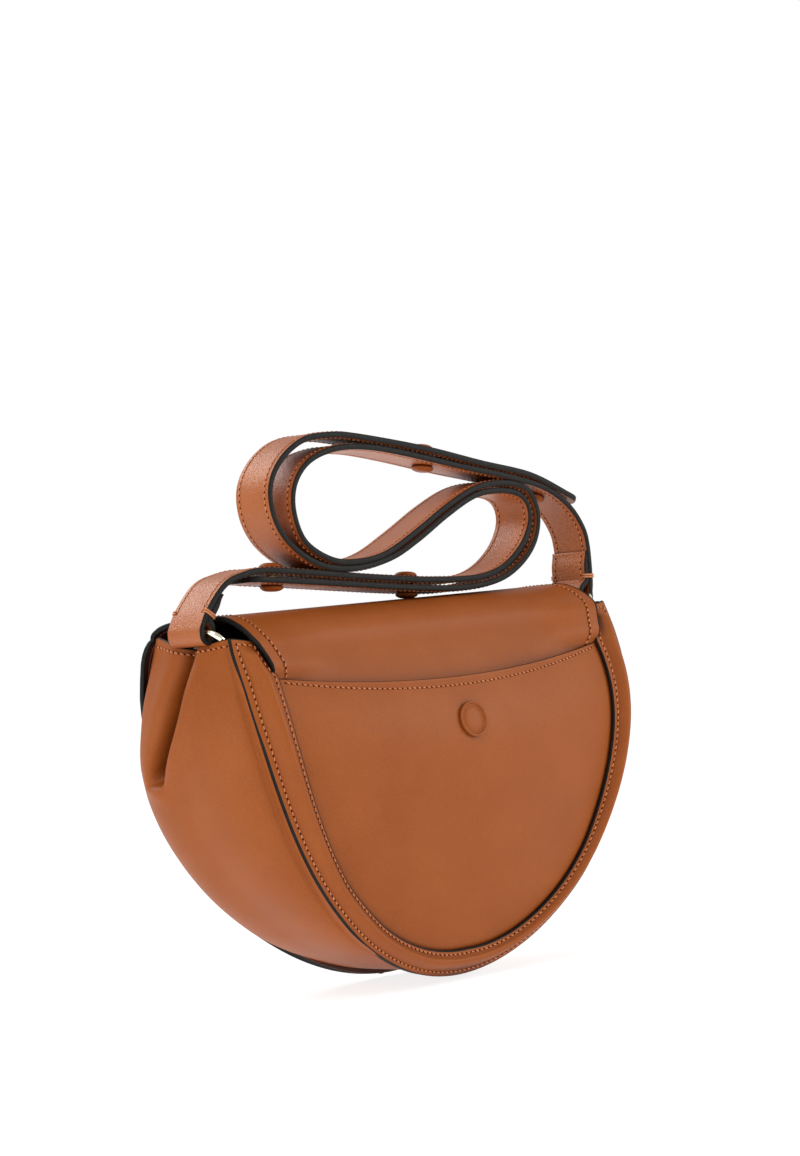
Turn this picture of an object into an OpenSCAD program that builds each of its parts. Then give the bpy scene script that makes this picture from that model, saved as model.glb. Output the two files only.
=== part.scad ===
// Saddle handbag: a half-moon leather body with a rear slip pocket, a flap over the front,
// wire rings at both ends of the gusset, and a wide two-part strap wound above the flap.
// The flap hangs at the front, towards -Y, and the slip pocket is at the back, towards +Y.

/* [Body] */
// Half the width of the body at its widest level
half_w = 127; // [100:1:160]
// Height of the widest level above the floor
wide_z = 150; // [130:1:170]
// Height of the top corners above the widest level
top_rise = 24; // [20:1:36]
// How far the side leans in between the widest level and the top
top_in = 2; // [0:0.5:8]
// How round the belly is: larger is fuller
belly_power = 1.78; // [1.5:0.01:2.2]
// Height of the round bottom that is pressed flat on the floor
floor_cut = 1.2; // [0.5:0.1:3]
// Depth from the middle to the back wall's edge
back_depth = 33.7; // [28:0.1:42]
// Depth from the middle to the front wall's edge
front_depth = 46; // [40:0.5:56]
// How far the back wall swells in its middle
back_swell = 3; // [1:0.5:5]
// How far the front wall swells in its middle
front_swell = 3; // [1:0.5:5]
// How far the gusset swells outwards
gusset_swell = 12; // [9:0.5:14]

/* [Leather] */
// Thickness of the leather walls
wall = 1.6; // [1.2:0.1:2]
// Thickness of the lining
lining_t = 0.8; // [0.5:0.1:1.2]
// Thickness of the flap's lining
flap_lining_t = 0.9; // [0.6:0.1:1.2]
// Clearance between two layers that are sewn together
layer_gap = 0.2; // [0.1:0.05:0.4]

/* [Pocket] */
// Height of the ends of the pocket's mouth above the widest level
mouth_rise = 6; // [2:0.5:10]
// How far the mouth dips in the middle
mouth_dip = 11; // [4:1:16]
// How far the pocket's panel swells in its middle
pocket_swell = 14; // [12:0.5:18]
// Radius of the pocket's button
button_r = 8.5; // [6:0.5:10]
// How far the button's centre is below the middle of the mouth
button_drop = 20; // [18:1:40]
// Thickness of the button's cap
button_h = 2.2; // [1.5:0.1:4]
// Radius of each magnet
magnet_r = 7; // [5:0.5:7.5]
// Thickness of each magnet
magnet_h = 1.6; // [1:0.1:2]

/* [Border] */
// Width of the raised border at the sides
band_w = 17; // [13:0.5:20]
// Width of the raised border at the bottom
band_low_w = 14; // [10:0.5:16]
// Thickness of the border's leather
band_t = 2.2; // [1.6:0.1:3]
// Height of the padded ridge along the border
ridge_h = 1.6; // [0.5:0.1:2.5]

/* [Pleat] */
// How deep the pleat folds in
pleat_depth = 8; // [5:0.5:9]
// Half the width of the pleat's valley
pleat_w = 5.5; // [4:0.5:8]
// How far the pleat reaches down from the top corners
pleat_len = 68; // [50:1:80]

/* [Flap] */
// Thickness of the flap
flap_t = 2.2; // [1.6:0.1:3]
// Height of the flap's crest above the body's top corners
crest_rise = 11; // [9:0.5:16]
// Height of the front fold, where the flap turns down, above the top corners
fold_rise = 2; // [1:0.5:4]
// How much narrower than the body's top the flap is at its fold, on each side
fold_inset = 2.5; // [0:0.5:15]
// How much narrower than the body's top the flap is at its crest, on each side
crest_inset = 11; // [10.5:0.5:25]
// How much narrower than the body the tail in the pocket is, on each side
tail_inset = 27.5; // [27:0.5:45]
// How far the flap swells in its middle
flap_swell = 10; // [8:0.5:13]
// How far the flap's lower edge stays above the floor
flap_lift = 3.4; // [2:0.1:6]
// Clearance between the flap and the front wall
flap_gap = 0.5; // [0.4:0.1:1]

/* [Closure] */
// Height of the magnetic snap's centre
snap_z = 60; // [45:1:75]
// Radius of the magnetic snap
snap_r = 7; // [5:0.5:9]
// Thickness of each half of the magnetic snap
snap_h = 1.8; // [1.2:0.1:2]
// Radius of the metal dome at the flap's lower edge
dome_r = 4.5; // [3:0.5:6]
// Height of the dome
dome_h = 2.6; // [1.5:0.1:3]
// Height of the dome's centre above the floor
dome_z = 5.2; // [5:0.1:18]

/* [Rings] */
// Radius of the ring's wire
wire_r = 1.5; // [1:0.1:1.8]
// Distance between the ring's two bars
ring_h = 13.4; // [12:0.1:15]
// Length of the straight part of each bar
ring_bar = 19.5; // [19:0.5:20]
// How far the inner bar is inside the body's top corner
ring_inset = 7; // [6:0.5:9]
// How far the inner bar is below the top corners
ring_drop = 5.2; // [4:0.1:6]
// How far the ring leans out from the upright
ring_lean = 45; // [40:1:50]
// Clearance round the wire in the tab
wire_gap = 0.35; // [0.2:0.05:0.5]
// Width of the leather tab
tab_w = 18; // [14:0.5:20]
// Length of the tab's tail
tab_len = 18; // [12:1:24]
// Thickness of the tab
tab_t = 1.5; // [1:0.1:1.6]

/* [Strap] */
// Width of the strap
strap_w = 24; // [20:0.5:26]
// Thickness of the strap
strap_t = 2.6; // [2:0.1:2.8]
// Width of the strap's wound loops
coil_w = 180; // [180:1:200]
// Height of the wound strap above the flap
coil_h = 84; // [84:1:100]
// How much the strap's end loop is longer than the bar needs
loop_slack = 1.3; // [1.3:0.1:2]
// Clearance round the wire in the strap's end loop
loop_gap = 0.6; // [0.5:0.05:0.8]
// Length of the fold that is sewn back under the strap
fold_len = 20; // [12:0.5:22]
// Length of the strap's rounded tip
tip_len = 9; // [6:0.5:12]
// Radius of the corners of the strap's tip
tip_r = 6; // [3:0.5:9]
// Radius of the studs' caps
cap_r = 5.6; // [4:0.1:7]
// Thickness of the studs' caps
cap_h = 2.3; // [1.5:0.1:2.4]
// Radius of the studs' posts
post_r = 2.2; // [1.5:0.1:3]

/* [Hidden] */

$fn = 40;
leather = [0.65, 0.365, 0.21];
dark_lining = [0.3, 0.13, 0.09];
gold = [0.85, 0.72, 0.45];
steel = [0.6, 0.6, 0.62];

// Places that follow from the sizes above
top_z = wide_z + top_rise;
mouth_z = wide_z + mouth_rise;
button_z = mouth_z - mouth_dip - button_drop;
pleat_z = top_z - pleat_len;
crest_z = top_z + crest_rise;
fold_z = top_z + fold_rise;
top_half_w = half_w - top_in;
fold_half_w = top_half_w - fold_inset;
crest_half_w = top_half_w - crest_inset;
tail_half_w = half_w - tail_inset;
ring_x = top_half_w - ring_inset;
ring_z = top_z - ring_drop;

// Part of the outline, from the bottom to the top, that belongs to the round belly
curve_share = 0.9;
// Depth of the walls' edges from the floor to the top, as Bezier shares of back_depth and front_depth
back_shares = [0.61, 1.12, 0.76, 1.36, 1.05, 0.62];
front_shares = [0.54, 1, 0.83, 1.3, 0.93, 0.64];
swell_power = 0.8;
// How far below the button the walls begin to flatten towards the top
fade_drop = 15;
fade_z = button_z - fade_drop;
// The two walls end a little below the top corners
back_top_z = top_z - 5;
front_top_z = top_z - 0.5;
loop_steps = 26;
top_steps = 8;
centre_z_share = 0.6;
lining_in = 3;
lining_in_top = 8;
lining_drop = 13;

function lerp(a, b, t) = a + (b - a) * t;
function clamp01(t) = min(1, max(0, t));
function bezier(c, t) =
    len(c) == 1 ? c[0] : bezier([for (i = [0:len(c) - 2]) lerp(c[i], c[i + 1], t)], t);

// The body's outline seen from the back: s runs from 1 at the top at +X, by 0 at the bottom, to -1.
function rim_x(s) = let (a = abs(s) / curve_share, b = (abs(s) - curve_share) / (1 - curve_share))
    sign(s) * (a < 1 ? half_w * sin(90 * a) : half_w - top_in * b * b);
function rim_z(s) = let (a = abs(s) / curve_share, b = (abs(s) - curve_share) / (1 - curve_share))
    max(0, a < 1 ? lerp(-floor_cut, wide_z, 1 - pow(cos(90 * a), 2 / belly_power))
                 : lerp(wide_z, top_z, b));
// The place on the outline at a height
function rim_at(z) = z > wide_z ? curve_share + (1 - curve_share) * (z - wide_z) / (top_z - wide_z)
    : curve_share * acos(pow((wide_z - z) / (wide_z + floor_cut), belly_power / 2)) / 90;
rim_step = 0.004;
function rim_tangent(s) = let (a = max(-1, s - rim_step), b = min(1, s + rim_step),
    d = [rim_x(b) - rim_x(a), rim_z(b) - rim_z(a)]) d / norm(d);
// A point of the outline moved inwards
function rim_in(s, d) = let (t = rim_tangent(s)) [rim_x(s) - d * t[1], rim_z(s) + d * t[0]];
function band_width(s) = lerp(band_low_w, band_w, clamp01(2 * abs(s)));

// How full the swell of a wall is at a place: 0 on the outline, 1 in the middle
function reach(x, z) = min(1, pow(x / half_w, 2) + pow(max(0, (wide_z - z) / wide_z), belly_power));
function fade(z) = 1 - pow(clamp01((z - fade_z) / (top_z - fade_z)), 2);
function swell(x, z) = pow(1 - reach(x, z), swell_power) * fade(z);

// Outer faces of the walls, as distances from the middle plane
function back_edge(z) = back_depth * bezier(back_shares, clamp01(z / top_z));
function front_edge(z) = front_depth * bezier(front_shares, clamp01(z / top_z));
function back_face(x, z) = back_edge(z) + back_swell * swell(x, z);
function front_face(x, z) = front_edge(z) + front_swell * swell(x, z);
function pocket_face(x, z) = back_edge(z) + layer_gap + wall + pocket_swell * swell(x, z);
flap_seam = 0.45;
under_flap = flap_gap + flap_lining_t + flap_seam;
function flap_face(x, z) = front_edge(z) + under_flap + flap_t + flap_swell * swell(x, z);
function flap_inside(x, z) = flap_face(x, z) - flap_t - flap_seam - flap_lining_t;

module solid(points, faces, flip = false) {
    polyhedron(points, flip ? faces : [for (f = faces) [f[2], f[1], f[0]]]);
}

// A wall over a closed loop of [x, z] points: outer and inner give the distance of its two faces
// from the middle plane, and side is 1 at the back and -1 at the front.
module plate(loop, centre, outer, inner, rings, side = 1) {
    n = len(loop);
    flat = concat([centre], [for (r = [1:rings]) for (p = loop) lerp(centre, p, r / rings)]);
    points = concat([for (p = flat) [p[0], side * outer(p[0], p[1]), p[1]]],
                    [for (p = flat) [p[0], side * inner(p[0], p[1]), p[1]]]);
    m = len(flat);
    last = 1 + (rings - 1) * n;
    fan = [for (j = [0:n - 1]) [0, 1 + j, 1 + (j + 1) % n]];
    sides = [for (r = [0:rings - 2], j = [0:n - 1])
        let (a = 1 + r * n + j, b = 1 + r * n + (j + 1) % n) each [[a, a + n, b], [b, a + n, b + n]]];
    top = concat(fan, sides);
    edge = [for (j = [0:n - 1]) let (a = last + j, b = last + (j + 1) % n)
        each [[b, a, a + m], [b, a + m, b + m]]];
    solid(points, concat(top, [for (f = top) [f[2] + m, f[1] + m, f[0] + m]], edge), side < 0);
}

// A strip from section to section. Each section has as many outer points as inner ones.
module strip(sections, flip = false) {
    n = len(sections);
    k = len(sections[0]);
    m = k / 2;
    last = (n - 1) * k;
    sides = [for (i = [0:n - 2], j = [0:k - 1])
        let (a = i * k + j, b = i * k + (j + 1) % k) each [[a, b, a + k], [b, b + k, a + k]]];
    caps = [for (j = [0:m - 2]) let (a = j, b = j + 1, c = k - 2 - j, d = k - 1 - j)
        each [[a, c, b], [a, d, c], [last + a, last + b, last + c], [last + a, last + c, last + d]]];
    solid([for (s = sections) each s], concat(sides, caps), flip);
}

// Closed loop of a wall: the outline moved in by d, and a straight top edge at height z
function wall_loop(d, z) = let (
    s_top = rim_at(z),
    side = [for (i = [-loop_steps:loop_steps]) rim_in(-s_top * i / loop_steps, d)],
    x = side[0][0])
    concat(side, [for (i = [1:top_steps - 1]) [lerp(-x, x, i / top_steps), side[0][1]]]);
body_centre = [0, top_z * centre_z_share];

module back_panel() {
    color(leather)
        plate(wall_loop(0, back_top_z), body_centre, function(x, z) back_face(x, z),
              function(x, z) back_face(x, z) - wall, 5);
}

module front_panel() {
    color(leather)
        plate(wall_loop(0, front_top_z), body_centre, function(x, z) front_face(x, z),
              function(x, z) front_face(x, z) - wall, 5, -1);
}

// The slip pocket's panel reaches under the border
margin_share = 0.45;
mouth_s = rim_at(mouth_z);
pocket_side = [for (i = [-loop_steps:loop_steps])
    let (s = -mouth_s * i / loop_steps) rim_in(s, band_width(s) * (1 - margin_share))];
mouth_x = pocket_side[0][0];
pocket_loop = concat(pocket_side, [for (i = [1:top_steps * 2 - 1])
    let (x = lerp(-mouth_x, mouth_x, i / (top_steps * 2)))
    [x, pocket_side[0][1] - mouth_dip * (1 - pow(x / mouth_x, 2))]]);
module pocket_panel() {
    color(leather)
        plate(pocket_loop, body_centre, function(x, z) pocket_face(x, z),
              function(x, z) pocket_face(x, z) - wall, 5);
}

// Section of the border, from the rim inwards, as shares of its width, and the padded ridge on it
band_outer_shares = [0, 0.05, 0.25, 0.38, 0.5, 0.62, 0.75, 0.95, 1];
band_inner_shares = [0, 0.2, 0.35, 0.42, 0.5, 0.6, 0.75, 0.9, 1];
band_step_share = 0.5;
band_clear = 0.35;
band_edge_drop = 0.5;
ridge_half_share = 0.25;
function ridge(w) = ridge_h * pow(cos(90 * clamp01(abs(w - 0.5) / ridge_half_share)), 2);
function band_base(x, z, w) = lerp(back_edge(z) + layer_gap + wall, pocket_face(x, z), clamp01(2 * w))
    + band_clear;
function band_under(x, z, w) = w < band_step_share ? back_face(x, z) + layer_gap
    : pocket_face(x, z) + band_clear;
function band_section(s) = concat(
    [for (w = band_outer_shares) let (p = rim_in(s, w * band_width(s)))
        [p[0], band_base(p[0], p[1], w) + band_t + ridge(w) - (w == 0 || w == 1 ? band_edge_drop : 0), p[1]]],
    [for (i = [len(band_inner_shares) - 1:-1:0]) let (w = band_inner_shares[i],
        p = rim_in(s, w * band_width(s))) [p[0], band_under(p[0], p[1], w), p[1]]]);
module back_band() {
    color(leather) strip([for (i = [-loop_steps:loop_steps]) band_section(i / loop_steps)]);
}

// The gusset's cross-section: from the back wall to the valley of the pleat, then to the front wall
to_valley_shares = [0, 0.05, 0.16, 0.34, 0.56, 0.72, 0.82, 0.9, 0.96, 1];
from_valley_shares = [0.12, 0.28, 0.5, 0.75, 0.93, 1];
gusset_count = len(to_valley_shares) + len(from_valley_shares);
gusset_steps = 22;
gusset_crowding = 1.5;
swell_low_share = 0.05;
swell_full_share = 0.55;
swell_top_share = 0.3;
valley_low_share = 0.8;
valley_top_share = 0.5;
lobe_dip = 3.5;
function gusset_grow(z) = gusset_swell * (z < swell_full_share * top_z
    ? pow(sin(90 * clamp01((z / top_z - swell_low_share) / (swell_full_share - swell_low_share))), 1.5)
    : lerp(1, swell_top_share, pow(clamp01((z / top_z - swell_full_share) / (1 - swell_full_share)), 2)));
function gusset_round(v) = pow(1 - pow(abs(2 * v - 1), 3), 1 / 3);
function valley_share(z) = lerp(valley_low_share, valley_top_share, clamp01((z - pleat_z) / (top_z - pleat_z)));
function pleat(v, z, depth) = let (w = (v - valley_share(z)) * depth / pleat_w)
    pleat_depth * exp(-w * w) * sin(90 * clamp01((z - pleat_z) / pleat_run));
pleat_run = 16;
top_pleat_share = 0.5;
function gusset_out(s, v) = let (z = rim_z(s), depth = back_edge(z) + front_edge(z))
    gusset_grow(z) * gusset_round(v)
    - pleat(v, z, depth) * lerp(1, top_pleat_share, clamp01((z - wide_z) / (top_z - wide_z)));
function gusset_point(s, v, inwards) = let (
    z = rim_z(s),
    p = rim_in(s, inwards - gusset_out(s, v)),
    y = lerp(back_edge(z) - wall - layer_gap, -front_edge(z) + wall + layer_gap, v),
    dip = lobe_dip * pow(clamp01((z - wide_z) / (top_z - wide_z)), 2) * (1 - pow(2 * v - 1, 4)))
    [p[0], y, p[1] - dip];
function gusset_shares(z) = let (valley = valley_share(z)) concat(
    [for (t = to_valley_shares) t * valley], [for (t = from_valley_shares) lerp(valley, 1, t)]);
function gusset_section(s) = let (v = gusset_shares(rim_z(s))) concat(
    [for (i = [0:gusset_count - 1]) gusset_point(s, v[i], 0)],
    [for (i = [gusset_count - 1:-1:0]) gusset_point(s, v[i], wall)]);
// The sections lie closer together towards the top, where the pleat is
module gusset() {
    color(leather) strip([for (i = [-gusset_steps:gusset_steps])
        gusset_section(sign(i) * (1 - pow(1 - abs(i) / gusset_steps, gusset_crowding)))], true);
}

// The lining hangs inside the walls
lining_seam = 0.8;
lining_z = top_z - lining_drop;
lining_steps = 18;
lining_top_steps = 4;
lining_shares = [0, 0.33, 0.67, 1];
function lining_inset(s) = lerp(lining_in, lining_in_top, clamp01(rim_z(s) / lining_z));
lining_s = rim_at(lining_z);
lining_side = [for (i = [-lining_steps:lining_steps])
    let (s = -lining_s * i / lining_steps) rim_in(s, lining_inset(s) + wall)];
lining_loop = concat(lining_side, [for (i = [1:lining_top_steps - 1])
    [lerp(-lining_side[0][0], lining_side[0][0], i / lining_top_steps), lining_side[0][1]]]);
module lining_back() {
    color(dark_lining)
        plate(lining_loop, body_centre, function(x, z) back_face(x, z) - wall - lining_seam,
              function(x, z) back_face(x, z) - wall - lining_seam - lining_t, 3);
}
module lining_front() {
    color(dark_lining)
        plate(lining_loop, body_centre, function(x, z) front_face(x, z) - wall - lining_seam,
              function(x, z) front_face(x, z) - wall - lining_seam - lining_t, 3, -1);
}
function lining_point(s, v, inwards) = let (
    p = rim_in(s, lining_inset(s) + wall + inwards), z = p[1], seam = wall + 2 * lining_seam + lining_t)
    [p[0], lerp(back_face(p[0], z) - seam, seam - front_face(p[0], z), v), z];
module lining_gusset() {
    color(dark_lining) strip([for (i = [-lining_steps:lining_steps]) let (s = lining_s * i / lining_steps)
        concat([for (v = lining_shares) lining_point(s, v, 0)],
               [for (i = [len(lining_shares) - 1:-1:0]) lining_point(s, lining_shares[i], lining_t)])], true);
}

// The flap's first part: its tail lies on the back wall inside the pocket, and its crest passes
// over the top below the strap. The second part starts in front of the strap and hangs in front.
tail_drop = 10;
tail_gap = 0.3;
tail_steps = 3;
beside_band = 1.5;
beside_band_w = top_half_w - band_w - beside_band;
tail_z = mouth_z - mouth_dip - tail_drop;
crest_half = 3;
hinge_turn = 63;
hinge_play = 1;
top_x_shares = [-1, -0.8, -0.55, -0.3, 0, 0.3, 0.55, 0.8, 1];
flap_x_shares = [-1, -0.96, -0.86, -0.7, -0.5, -0.26, 0, 0.26, 0.5, 0.7, 0.86, 0.96, 1];
function tail_face(x, z) = back_face(x, z) + tail_gap;
fold_in = front_edge(fold_z) + under_flap;
back_run = tail_face(0, back_top_z) - crest_half;
back_rise = crest_z - flap_t - back_top_z;
front_run = fold_in - crest_half;
front_rise = crest_z - flap_t - fold_z;
// Rows of the flap's inner face: [distance, height, outward normal's two parts, half width]
tail_rows = [for (i = [0:tail_steps]) ["tail", lerp(tail_z, back_top_z, i / tail_steps), 1, 0,
    lerp(tail_half_w, beside_band_w, pow(i / tail_steps, 3))]];
back_rows = [for (a = [18:18:90]) let (rise = back_rise * sin(a))
    [crest_half + back_run * cos(a), back_top_z + rise, cos(a), sin(a),
     back_top_z + rise < top_z ? beside_band_w : crest_half_w]];
function front_row(a) = [-crest_half - front_run * cos(a), fold_z + front_rise * sin(a), -cos(a), sin(a),
    lerp(crest_half_w, fold_half_w, pow(1 - a / 90, 2))];
over_rows = [for (a = [90, (90 + hinge_turn) / 2, hinge_turn]) front_row(a)];
fold_steps = 5;
fold_rows = [for (i = [0:fold_steps]) front_row((hinge_turn - hinge_play) * (1 - i / fold_steps))];
// The hanging rows follow the body's outline, a little above the floor
hang_rows = [for (i = [loop_steps - 1:-1:1]) let (s = i / loop_steps, z = rim_z(s),
    top = clamp01((z - wide_z) / (top_z - wide_z)))
    ["hang", lerp(z, fold_z, top) + flap_lift * (1 - z / top_z), -1, 0,
     rim_x(s) - fold_inset * top * top]];
// A point of a row: t is its distance outwards from the inner face, d how far the edge is moved in
function flap_point(r, share, t, d) = let (x = share * (r[4] - d), z = r[1] + d * (1 - r[1] / crest_z),
    y = r[0] == "tail" ? tail_face(x, z) : r[0] == "hang" ? flap_t - flap_face(x, z) : r[0])
    [x, y + t * r[2], z + t * r[3]];
module flap_sheet(rows, shares, inner, outer, d = 0) {
    strip([for (share = shares) concat([for (r = rows) flap_point(r, share, outer, d)],
        [for (i = [len(rows) - 1:-1:0]) flap_point(rows[i], share, inner, d)])]);
}
module flap_top() {
    color(leather) flap_sheet(concat(tail_rows, back_rows, over_rows), top_x_shares, 0, flap_t);
}
module flap_front() {
    color(leather) flap_sheet(concat(fold_rows, hang_rows), flap_x_shares, 0, flap_t);
}
flap_lining_in = 1.5;
module flap_lining() {
    color(dark_lining) flap_sheet(concat(fold_rows, hang_rows), flap_x_shares,
        -flap_seam - flap_lining_t, -flap_seam, flap_lining_in);
}

// Stands children on a wall's face at a height in the middle, with their +Z along its normal
slope_step = 4;
module on_face(face, z, side = 1) {
    tilt = atan2(face(0, z + slope_step) - face(0, z - slope_step), 2 * slope_step);
    translate([0, side * face(0, z), z]) rotate([-side * (90 + tilt), 0, 0]) children();
}
// A shallow dome on a flat base
module dome(r, h) {
    big = (r * r + h * h) / (2 * h);
    rotate_extrude() intersection() {
        translate([0, h - big]) circle(r = big, $fn = 120);
        square([r, h]);
    }
}
module disc(r, h) {
    cylinder(r = r, h = h);
}

seat_gap = 0.15;
hollow_seat = 0.6;
module flap_snap() {
    color(steel) on_face(function(x, z) flap_inside(x, z), snap_z, -1)
        translate([0, 0, -snap_h - hollow_seat]) disc(snap_r, snap_h);
}
module panel_snap() {
    color(steel) on_face(function(x, z) front_face(x, z), snap_z, -1)
        translate([0, 0, seat_gap]) disc(snap_r, snap_h);
}
module flap_dome() {
    color(gold) on_face(function(x, z) flap_face(x, z), dome_z, -1)
        translate([0, 0, seat_gap]) dome(dome_r, dome_h);
}
module pocket_button() {
    color(leather) on_face(function(x, z) pocket_face(x, z), button_z)
        translate([0, 0, seat_gap]) dome_cap(button_r, button_h);
}
// A cap with a low wall and a shallow dome
cap_wall_share = 0.45;
module dome_cap(r, h) {
    cylinder(r = r, h = h * cap_wall_share);
    translate([0, 0, h * cap_wall_share]) dome(r, h * (1 - cap_wall_share));
}
module pocket_magnet() {
    color(steel) on_face(function(x, z) pocket_face(x, z) - wall, button_z)
        translate([0, 0, -magnet_h - hollow_seat]) disc(magnet_r, magnet_h);
}
module back_magnet() {
    color(steel) on_face(function(x, z) back_face(x, z), button_z)
        translate([0, 0, seat_gap]) disc(magnet_r, magnet_h);
}

// A ring of round wire: two straight bars along Y joined by half circles. Its origin is the inner bar.
module ring() {
    r = ring_h / 2;
    for (x = [0, ring_h]) translate([x, ring_bar / 2, 0]) rotate([90, 0, 0]) cylinder(r = wire_r, h = ring_bar);
    for (a = [0, 180]) translate([r, 0, 0]) rotate([0, 0, a]) translate([0, ring_bar / 2, 0])
        rotate_extrude(angle = 180) translate([r, 0]) circle(r = wire_r);
}
module placed_ring() {
    translate([ring_x, 0, ring_z]) rotate([0, ring_lean - 90, 0]) ring();
}
module ring_left() {
    color(gold) placed_ring();
}
module ring_right() {
    color(gold) mirror([1, 0, 0]) placed_ring();
}
// The tab is folded round the inner bar, and its tail hangs inside the gusset
module tab() {
    r = wire_r + wire_gap;
    difference() {
        union() {
            translate([ring_x, tab_w / 2, ring_z]) rotate([90, 0, 0]) cylinder(r = r + tab_t, h = tab_w);
            translate([ring_x + r, -tab_w / 2, ring_z - tab_len]) cube([tab_t, tab_w, tab_len]);
        }
        translate([ring_x, tab_w, ring_z]) rotate([90, 0, 0]) cylinder(r = r, h = 2 * tab_w);
    }
}
module ring_tab_left() {
    color(leather) tab();
}
module ring_tab_right() {
    color(leather) mirror([1, 0, 0]) tab();
}

// Routes of the strap's two halves seen from the front side, as shares of coil_w and coil_h above the flap
left_shares = [
    [0.634, 0.162], [0.568, 0.208], [0.489, 0.222], [0.333, 0.188], [0.183, 0.149], [0.039, 0.116],
    [-0.111, 0.087], [-0.272, 0.077], [-0.378, 0.122], [-0.461, 0.237], [-0.506, 0.381], [-0.5, 0.5],
    [-0.456, 0.562], [-0.372, 0.58], [-0.289, 0.553], [-0.183, 0.456], [-0.067, 0.328], [0.039, 0.235],
    [0.167, 0.192], [0.292, 0.224], [0.392, 0.345], [0.444, 0.5], [0.45, 0.679], [0.406, 0.827],
    [0.322, 0.935], [0.222, 0.959], [0.122, 0.942], [-0.122, 0.852], [-0.333, 0.75], [-0.528, 0.66],
    [-0.672, 0.529]];
right_shares = [
    [-0.733, 0.214], [-0.717, 0.333], [-0.667, 0.465], [-0.578, 0.578], [-0.439, 0.659], [-0.25, 0.739],
    [-0.039, 0.834], [0.1, 0.88], [0.211, 0.878], [0.306, 0.815], [0.362, 0.694], [0.375, 0.536],
    [0.343, 0.36], [0.252, 0.248], [0.15, 0.229], [0.05, 0.266], [-0.067, 0.378], [-0.183, 0.503],
    [-0.289, 0.5945], [-0.372, 0.624], [-0.456, 0.614], [-0.517, 0.559], [-0.542, 0.417], [-0.517, 0.258],
    [-0.45, 0.13], [-0.356, 0.05], [-0.222, 0.025], [-0.056, 0.047], [0.139, 0.09], [0.333, 0.136],
    [0.489, 0.17]];
bar_x = ring_x + ring_h * sin(ring_lean);
bar_z = ring_z + ring_h * cos(ring_lean);
loop_r = wire_r + loop_gap;
loop_mid = loop_r + strap_t / 2;
coil_lift = 0.7;
function coil_point(p) = [p[0] * coil_w, crest_z + coil_lift + p[1] * coil_h];
left_start = [[bar_x + loop_mid, bar_z + loop_slack], [bar_x - loop_r, bar_z + loop_slack + 2 * loop_mid + loop_r]];
right_start = [[-bar_x - loop_mid, bar_z + loop_slack], [-bar_x - loop_mid - loop_r / 2, bar_z + 2 * loop_mid + loop_slack]];

// A smooth curve through the points, with an even number of steps in each span
route_steps = 4;
function spline_at(p, i, t) = let (
    a = p[max(0, i - 1)], b = p[i], c = p[i + 1], d = p[min(len(p) - 1, i + 2)])
    (2 * b + (c - a) * t + (2 * a - 5 * b + 4 * c - d) * t * t + (3 * b - a - 3 * c + d) * t * t * t) / 2;
function smooth(p) = concat([for (i = [0:len(p) - 2], k = [0:route_steps - 1]) spline_at(p, i, k / route_steps)],
    [p[len(p) - 1]]);
left_route = smooth(concat(left_start, [for (p = left_shares) coil_point(p)]));
right_route = smooth(concat(right_start, [for (p = right_shares) coil_point(p)]));

function route_dir(r, i) = let (d = r[min(len(r) - 1, i + 1)] - r[max(0, i - 1)]) d / norm(d);
function route_side(r, i, d) = let (t = route_dir(r, i)) r[i] + d * [-t[1], t[0]];
module ribbon(r) {
    polygon(concat([for (i = [0:len(r) - 1]) route_side(r, i, strap_t / 2)],
                   [for (i = [len(r) - 1:-1:0]) route_side(r, i, -strap_t / 2)]));
}
// The loop round the ring's bar, a little taller than the wire
module eye(r) {
    for (z = [-loop_slack, loop_slack]) translate([0, z]) circle(r = r);
    translate([-r, -loop_slack]) square([2 * r, 2 * loop_slack]);
}
// The sewn-back end of the strap, from the eye to below the strap's main layer
function fold_back(r, side) = let (
    start = [sign(r[0][0]) * (bar_x - loop_mid), bar_z + loop_slack])
    [start, route_side(r, fold_index(r, 0), side * strap_t * fold_overlap_share)];
fold_overlap_share = 0.98;
function fold_index(r, i) = norm(r[i] - r[0]) >= fold_len ? i : fold_index(r, i + 1);
// Cross-section of a strap half in the plane of its route
module strap_section(r, side) {
    difference() {
        union() {
            ribbon(r);
            ribbon(fold_back(r, side));
            translate([sign(r[0][0]) * bar_x, bar_z]) eye(loop_r + strap_t);
        }
        translate([sign(r[0][0]) * bar_x, bar_z]) eye(loop_r);
    }
}
// The rounded tip beyond the last point of the route
module strap_tip(r) {
    n = len(r) - 1;
    t = route_dir(r, n);
    translate([r[n][0], 0, r[n][1]]) rotate([0, -atan2(t[1], t[0]), 0])
        translate([0, 0, -strap_t / 2]) linear_extrude(height = strap_t) {
            translate([0, -strap_w / 2]) square([tip_len - tip_r, strap_w]);
            translate([0, tip_r - strap_w / 2]) square([tip_len, strap_w - 2 * tip_r]);
            for (y = [-1, 1]) translate([tip_len - tip_r, y * (strap_w / 2 - tip_r)]) circle(r = tip_r);
        }
}
module strap_half(r, side) {
    difference() {
        union() {
            rotate([90, 0, 0]) linear_extrude(height = strap_w, center = true) strap_section(r, side);
            strap_tip(r);
        }
        for (k = [0:len(stud_x) - 1]) at_stud(k) translate([0, 0, -stud_reach])
            cylinder(r = post_r + stud_gap, h = 2 * stud_reach);
    }
}

// Studs: their places along X, the lower run first, as shares of coil_w
stud_x_shares = [0.42, -0.065, -0.17, -0.6];
stud_x = [for (s = stud_x_shares) s * coil_w];
low_studs = 2;
stud_gap = 0.1;
cap_seat = 0.5;
stud_reach = 2.7 * strap_t;
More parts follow.
